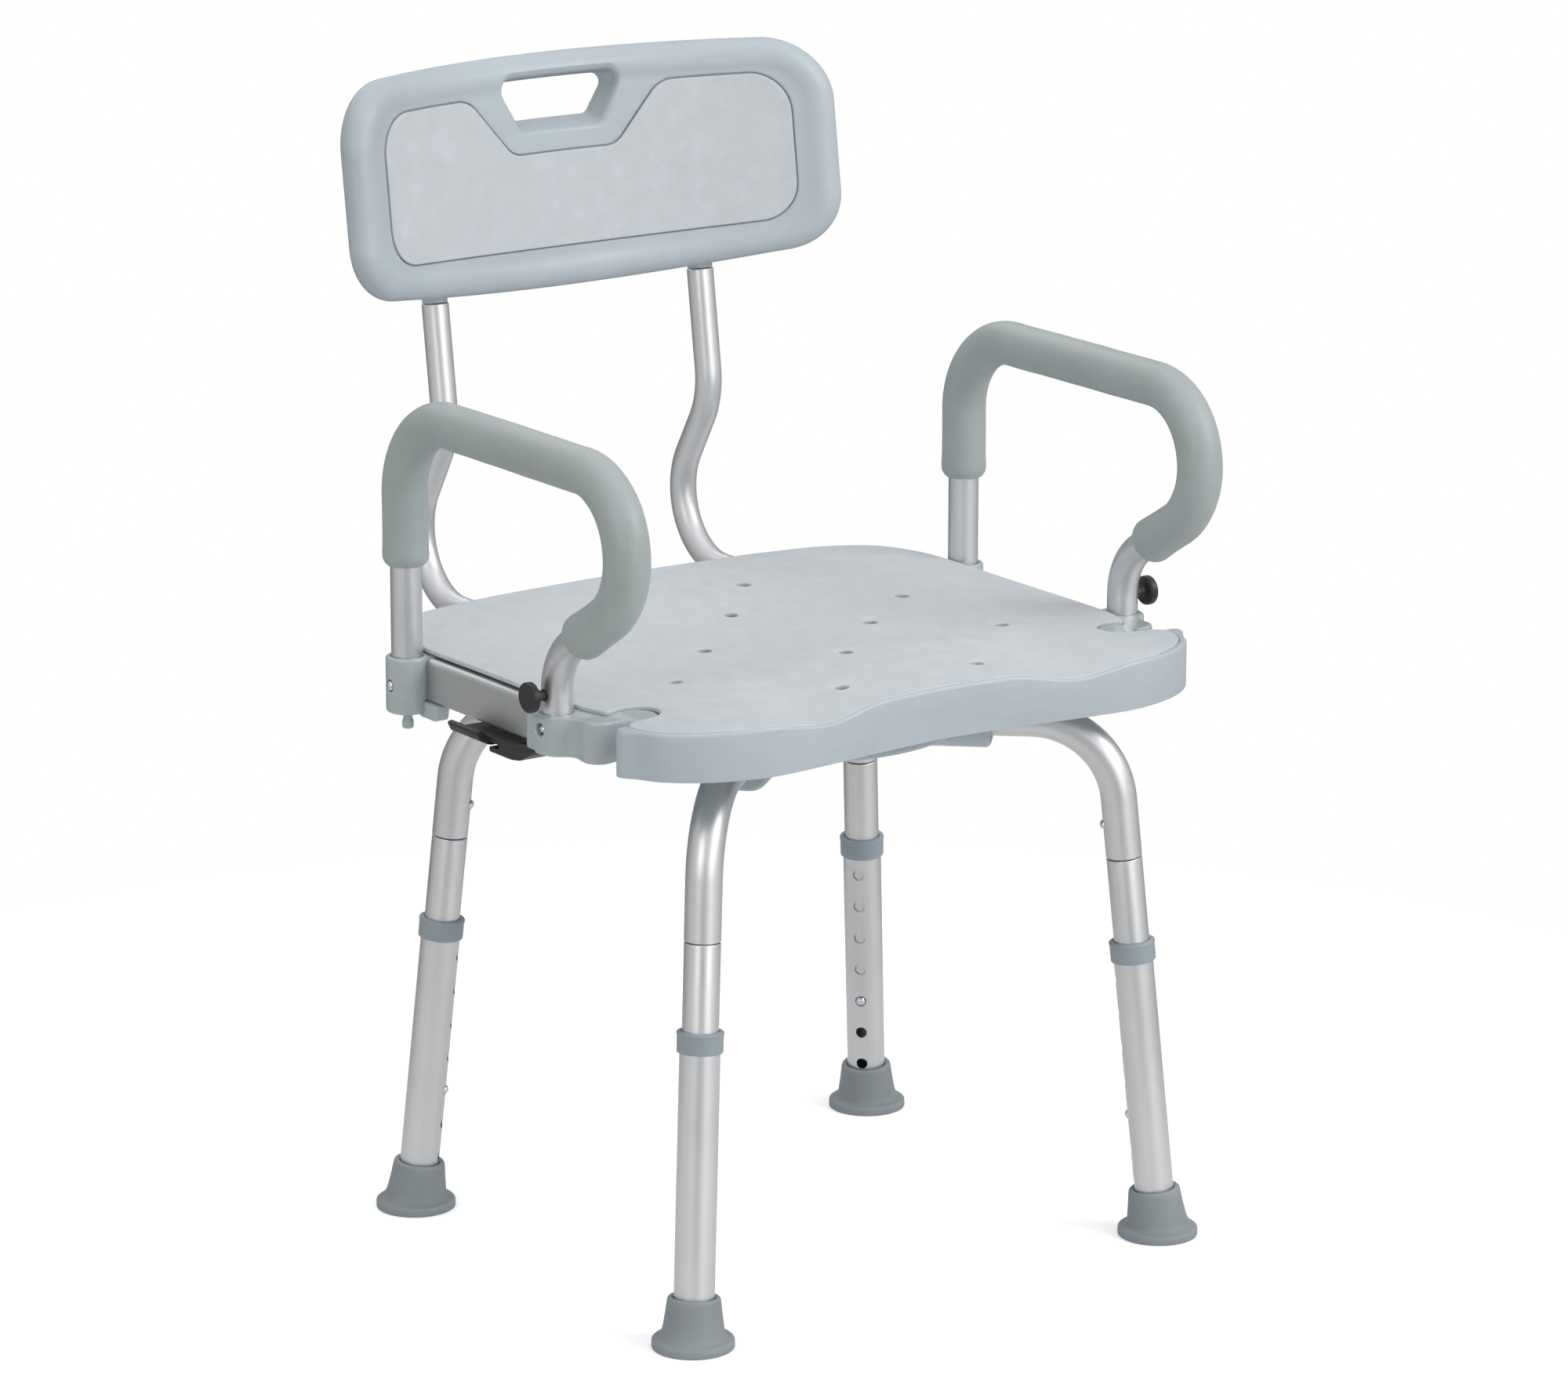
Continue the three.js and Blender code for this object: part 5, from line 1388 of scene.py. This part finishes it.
def bend(verts):
    """Flat panel space to the curved, leaning panel."""
    x, z, h = verts[:, 0], verts[:, 1], verts[:, 2]
    angle = np.arcsin(np.clip(x / PANEL_CURVE_R, -0.99, 0.99))
    radius = PANEL_CURVE_R + h
    y = PANEL_Y - PANEL_CURVE_R + radius * np.cos(angle) + PANEL_LEAN * (z - PANEL_REF_Z)
    return np.column_stack([radius * np.sin(angle), y, z])


# (x, z, corner radius, segments); the lower edges are shallow parabolas
PANEL_OUTLINE = dense(rounded(
    [(-208.3, 655.5, 42, 20)] + [(x, 637.2 + 4.5e-4 * x * x) for x in range(-140, 141, 14)]
    + [(208.3, 655.5, 42, 20), (208.3, 804.6, 46, 22), (-208.3, 804.6, 46, 22)]))
BACK_PAD_OUTLINE = dense(rounded(
    [(-179, 676, 28, 12)] + [(x, 668 + 2.5e-4 * x * x) for x in range(-135, 136, 15)]
    + [(179, 676, 28, 12), (179, 781, 28, 12), (84.5, 779, 24, 12), (45.5, 735, 20, 11),
       (-45.5, 735, 20, 11), (-84.5, 779, 24, 12), (-179, 781, 28, 12)]))
# (growth, h) stations: from the front edge's crest in to the field; pad pocket; handle
PANEL_FRONT = [(-14, -12.05), (-16, -11.9), (-18, -11.5), (-20, -11.0), (-22, -10.65),
               (-24.5, -10.5), (-27, -10.45)]
BACK_POCKET = [(0.9, -8.4), (0.9, -9.6), (1.15, -10.1), (1.6, -10.42), (2.4, -10.9),
               (3.0, -14), (3.0, -18)]
HANDLE = [(8.2, -18), (8.2, -12.6), (6.0, -11.75), (4.0, -10.8), (2.4, -9.6), (1.2, -8.0),
          (0.4, -6.0), (0.0, -3.5), (-2.0, 3.0), (-3.4, 7.0), (-3.3, 9.0), (-2.4, 10.8),
          (-0.6, 12.2), (1.4, 13.2), (1.4, 18)]


def handle_outline(growth):
    """Handle opening, wider at the top, moved out by growth."""
    arc = (7 + max(growth, 0), 8)
    low_x, high_x = 34 + growth * 0.75, 55 + growth * 1.2
    low_z, high_z = 753 - growth, 788.5 + growth
    return rounded([(-low_x, low_z, *arc), (low_x, low_z, *arc),
                    (high_x, high_z, *arc), (-high_x, high_z, *arc)])


def back_panel():
    edge = [(-PANEL_HALF_T + PANEL_HALF_T * math.cos(a), PANEL_HALF_T * math.sin(a))
            for a in quarter(9)]
    stations = edge[:0:-1] + [(growth, -h) for growth, h in edge] + PANEL_FRONT
    panel = stack(PANEL_OUTLINE, stations, first_up=True)
    pocket = stack(BACK_PAD_OUTLINE, BACK_POCKET, first_up=True)
    handle = capped([ring_at(handle_outline(growth), h) for growth, h in HANDLE])
    panel = boolean(panel, [pocket, handle])
    verts, faces, uvs = grid_cut(panel, xs=np.arange(-205, 206, 8.2))
    parts = [(bend(verts), faces, uvs)]
    # sockets for the tubes on the rear face, each with a shoulder below
    lean = math.radians(UPPER_LEAN)
    up = unit((0, math.sin(lean), math.cos(lean)))
    for side in (-1, 1):
        at_tube = frame_to((side * BACK_X, TUBE_TOP_Y, TUBE_TOP_Z), up)
        parts.append(turned([(0, 7.6), (14.2, 7.6, 3.5, 6), (14.2, 66, 7, 8), (0, 66)],
                            56, at_tube))
        parts.append(turned([(0, 0.5), (9.2, 0.5, 0.4, 2), (9.2, 10), (0, 10)], 56, at_tube))
    # shallow ribs on the rear face
    for z0, z1 in ((664, 668), (716, 720)):
        rib = plate(dense(rounded(rectangle(-92, 92, z0, z1, 1.9, 5)), 4), [], 10.5, 13.6, 1.2)
        verts, faces, uvs = grid_cut(rib, xs=np.arange(-88, 89, 8.0))
        parts.append((bend(verts), faces, uvs))
    return join(parts)


def back_pad():
    verts, faces, uvs = plate(BACK_PAD_OUTLINE, [], 8.7, 11.35, 0.8)
    verts[:, 2] *= -1
    part = (verts, [tuple(reversed(face)) for face in faces], uvs)
    verts, faces, uvs = grid_cut(part, xs=np.arange(-176, 177, 8.0), ys=np.arange(675, 780, 10.0))
    # slight unevenness
    verts[:, 2] += 0.10 * np.sin(verts[:, 0] * 0.05 + 1.3) * np.sin(verts[:, 1] * 0.07)
    return weld((bend(verts), faces, uvs))


BACK_BALL = moved(SNAP, frame_to((BACK_X, BACK_BUTTON_Y, 404.3), (0, 0, -1)))
finish_piece("back_shell", back_panel(), "plastic", "back", "back_panel", "plastic", angle=36)
finish_piece("back_foam_sheet", back_pad(), "pad", "back", "back_pad", "pad", angle=45)
finish_sides([
    ("back_upright", back_tube(), "tube", "back", "back_tube", "tube"),
    ("back_ball", BACK_BALL, "chrome", "back_button_body_{}", "back_button", "chrome_button"),
])

# ============================================================ swivel lever
WIRE_R = 2.0


def lever():
    """Hooked block, drawn in (y, z), with a paddle to its rear, drawn in (x, z)."""
    block = prism_x(rounded([
        (8, 391.6), (-5, 391.6, 1, 3), (-7.6, 390, 1.2, 3), (-5, 388.4, 1, 3),
        (5.6, 388.4, 1, 3), (5.6, 384.8, 1.4, 4), (-22, 384.8, 8, 5), (-33, 386.5, 9, 5),
        (-44.4, 392.4, 9, 5), (-49.4, 397.4, 1, 3), (-38, 397.4, 2, 3), (-24, 395, 2, 3),
        (8, 395)]), -243.4, -221.6)
    notch = prism_x([(-60, 392), (-37, 397.5), (-37, 405), (-60, 405)], -234.6, -215)
    block = boolean(block, [notch])
    verts, faces, uvs = prism(rounded([
        (-215, 389.8), (-243, 389, 12, 8), (-251.2, 393, 3, 5), (-254.6, 399.7, 1.4, 5),
        (-250, 400.1, 1.4, 5), (-244, 394.8, 6, 6), (-215, 394.8)]), 5, 42)
    paddle = weld((np.column_stack([verts[:, 0], verts[:, 2], verts[:, 1]]),
                   [tuple(reversed(face)) for face in faces], uvs))
    bridge = prism_x(rectangle(2, 12, 391.6, 394.6), -243, -222)
    part = boolean(block, [paddle, bridge], "UNION")
    return boolean(part, [cylinder((-236, LEVER_Y, LEVER_Z), (-200, LEVER_Y, LEVER_Z), 2.5, 24)])


def wire():
    """Along the lever's pivot to below the pin, up, then rearwards to the pin."""
    bend_angles = np.linspace(0.2, math.pi / 2, 7)
    low_bend, high_bend, high_z = 5, 3.5, 399.5
    bend_x = LOCK_X - low_bend
    pivot = [((-235, LEVER_Y, LEVER_Z), (1, 0, 0)), ((bend_x, LEVER_Y, LEVER_Z), (1, 0, 0))]
    pivot += [((bend_x + low_bend * math.sin(a), LEVER_Y,
                LEVER_Z + low_bend - low_bend * math.cos(a)),
               (math.cos(a), 0, math.sin(a))) for a in bend_angles]
    pivot.append(((LOCK_X, LEVER_Y, 399), (0, 0, 1)))
    top = [((LOCK_X, LEVER_Y, 398.0), (0, 0, 1)), ((LOCK_X, LEVER_Y, high_z), (0, 0, 1))]
    top += [((LOCK_X, LEVER_Y + high_bend - high_bend * math.cos(a),
              high_z + high_bend * math.sin(a)),
             (0, math.sin(a), math.cos(a))) for a in bend_angles]
    top.append(((LOCK_X, LOCK_Y - PIN_R - 2.9, 403), (0, 1, 0)))
    return join([pipe(pivot, (0, 1, 0), WIRE_R, None, 24, 0.4),
                 pipe(top, (1, 0, 0), WIRE_R, None, 24, 0.6)])


def lock_pin():
    """Pin with a thin collar."""
    return turned([
        (0, 390.1), (PIN_R, 390.1, 1.2, 4), (PIN_R, 405.6, 0.2, 1), (7.4, 405.6, 0.3, 2),
        (7.4, 407.2, 0.3, 2), (PIN_R, 407.2, 0.2, 1), (PIN_R, 420, 0.8, 3), (0, 420)],
        36, shift(LOCK_X, LOCK_Y, 0))


finish_piece("lever", lever(), "black", "lever", "swivel_lever", "black_plastic", bevel=0.7)
finish_piece("wire", wire(), "steel", "lever", "lever_wire", "steel")
finish_piece("pin", lock_pin(), "steel", "lock_pin_body", "lock_pin", "steel")


# ============================================================ stage, light
def grey(value, blue=1.0):
    return (value, value, value * blue, 1)


def floor_material():
    """Pale floor, brighter to the camera, fading out away from the chair."""
    m = Material("pale_floor")
    camera = m.camera_ray()
    distance = m.node("VectorMath", {0: m.coordinates.outputs["Object"]}, operation="LENGTH")
    m.set(Roughness=0.75, Specular_IOR_Level=0.1, Emission_Color=grey(1),
          Emission_Strength=m.math("MULTIPLY", camera, second=0.30),
          Base_Color=m.mix(camera, first=grey(0.74), second=grey(0.94)),
          Alpha=m.remap(distance.outputs["Value"], to=(1.0, 0.0), over=(0.42, 0.95)))
    return m.material


floor_mesh = bpy.data.meshes.new("floor")
with editing(floor_mesh) as floor_bm:
    bmesh.ops.create_grid(floor_bm, x_segments=2, y_segments=2, size=9.0)
floor = link_object("floor", floor_mesh)
floor_mesh.materials.append(floor_material())

# (place round the horizon from 0 to 1, brightness); the dark bands shade the tubes
HORIZON_BANDS = [(0.06, 0.66), (0.152, 0.46), (0.25, 0.85), (0.32, 1.02), (0.42, 0.80),
                 (0.54, 0.50), (0.63, 0.22), (0.71, 0.16), (0.82, 0.42), (0.93, 0.80)]


def studio_world():
    """White to the camera; otherwise a banded horizon under a bright overhead."""
    world = bpy.data.worlds.new("studio")
    bpy.context.scene.world = world
    world.use_nodes = True
    world.node_tree.nodes.clear()
    g = Graph(world.node_tree)
    generated = g.node("TexCoord").outputs["Generated"]
    direction = g.node("SeparateXYZ", {0: generated}).outputs
    azimuth = g.math("ARCTAN2", direction["Y"], direction["X"])
    stops = [(place, grey(value, blue=1.01)) for place, value in HORIZON_BANDS]
    stops = [(0.0, grey(0.84))] + stops + [(1.0, grey(0.84))]
    turn = g.remap(azimuth, to=(0.0, 1.0), over=(-math.pi, math.pi))
    horizon = g.ramp(turn, stops, interpolation="EASE")
    overhead = g.remap(direction["Z"], to=(0.0, 1.0), over=(0.15, 0.85))
    sky = g.mix(overhead, horizon, second=(1.1, 1.1, 1.12, 1))
    lighting = g.node("Background", {"Color": sky, "Strength": 0.74})
    white = g.node("Background", {"Color": grey(1), "Strength": 1.0})
    shader = g.node("MixShader", {0: g.camera_ray()})
    g.feed(shader.inputs[1], lighting.outputs[0])
    g.feed(shader.inputs[2], white.outputs[0])
    g.node("OutputWorld", {"Surface": shader.outputs[0]})


def area_light(name, place, target_z, size, energy):
    """Rectangular light aimed at the z axis at target_z; metres and watts."""
    light = bpy.data.lights.new(name, "AREA")
    light.shape, light.energy = "RECTANGLE", energy
    light.size, light.size_y = size
    obj = link_object(name, light)
    obj.location = place
    obj.rotation_mode = "QUATERNION"
    aim = Vector((0, 0, target_z)) - Vector(place)
    obj.rotation_quaternion = aim.to_track_quat("-Z", "Y")


studio_world()
area_light("key", place=(1.6, -2.3, 2.3), target_z=0.45, size=(1.5, 1.5), energy=42)
area_light("fill", place=(-2.6, -1.5, 1.4), target_z=0.45, size=(1.2, 2.0), energy=15)
area_light("front", place=(0.3, -3.2, 0.8), target_z=0.45, size=(1.6, 1.0), energy=11)
area_light("back_light", place=(0.4, 2.4, 2.2), target_z=0.5, size=(2.0, 1.2), energy=10)
area_light("top", place=(0.0, 0.1, 3.2), target_z=0.4, size=(2.4, 2.4), energy=13)

# ================================================================== camera
CAMERA_AZIMUTH, CAMERA_ELEVATION, CAMERA_ROLL = (math.radians(a) for a in (-35.20, 14.84, 0.1))
CAMERA_PIVOT_Z = 450  # mm, as the distances below
CAMERA_DISTANCE, CAMERA_RIGHT, CAMERA_UP = 4627.2, -1.03, -60.51
SENSOR_WIDTH, LENS = 36.0, 151.7418  # mm


def place_camera():
    azimuth, elevation = CAMERA_AZIMUTH, CAMERA_ELEVATION
    back = Vector((math.sin(azimuth) * math.cos(elevation),
                   -math.cos(azimuth) * math.cos(elevation), math.sin(elevation)))
    right = Vector((math.cos(azimuth), math.sin(azimuth), 0))
    up = back.cross(right)
    place = (Vector((0, 0, CAMERA_PIVOT_Z)) + back * CAMERA_DISTANCE + right * CAMERA_RIGHT
             + up * CAMERA_UP)
    data = bpy.data.cameras.new("camera")
    data.sensor_width = SENSOR_WIDTH
    data.lens = LENS
    data.clip_start, data.clip_end = 0.1, 60.0
    camera = link_object("camera", data)
    cos, sin = math.cos(CAMERA_ROLL), math.sin(CAMERA_ROLL)
    rotation = Matrix((right * cos + up * sin, up * cos - right * sin, back)).transposed()
    place = Vector((place.x, place.y + AXIS_Y, place.z)) * MM
    camera.matrix_world = Matrix.Translation(place) @ rotation.to_4x4()
    bpy.context.scene.camera = camera


place_camera()
view = bpy.context.scene.view_settings
view.view_transform = "Standard"
view.look = "None"
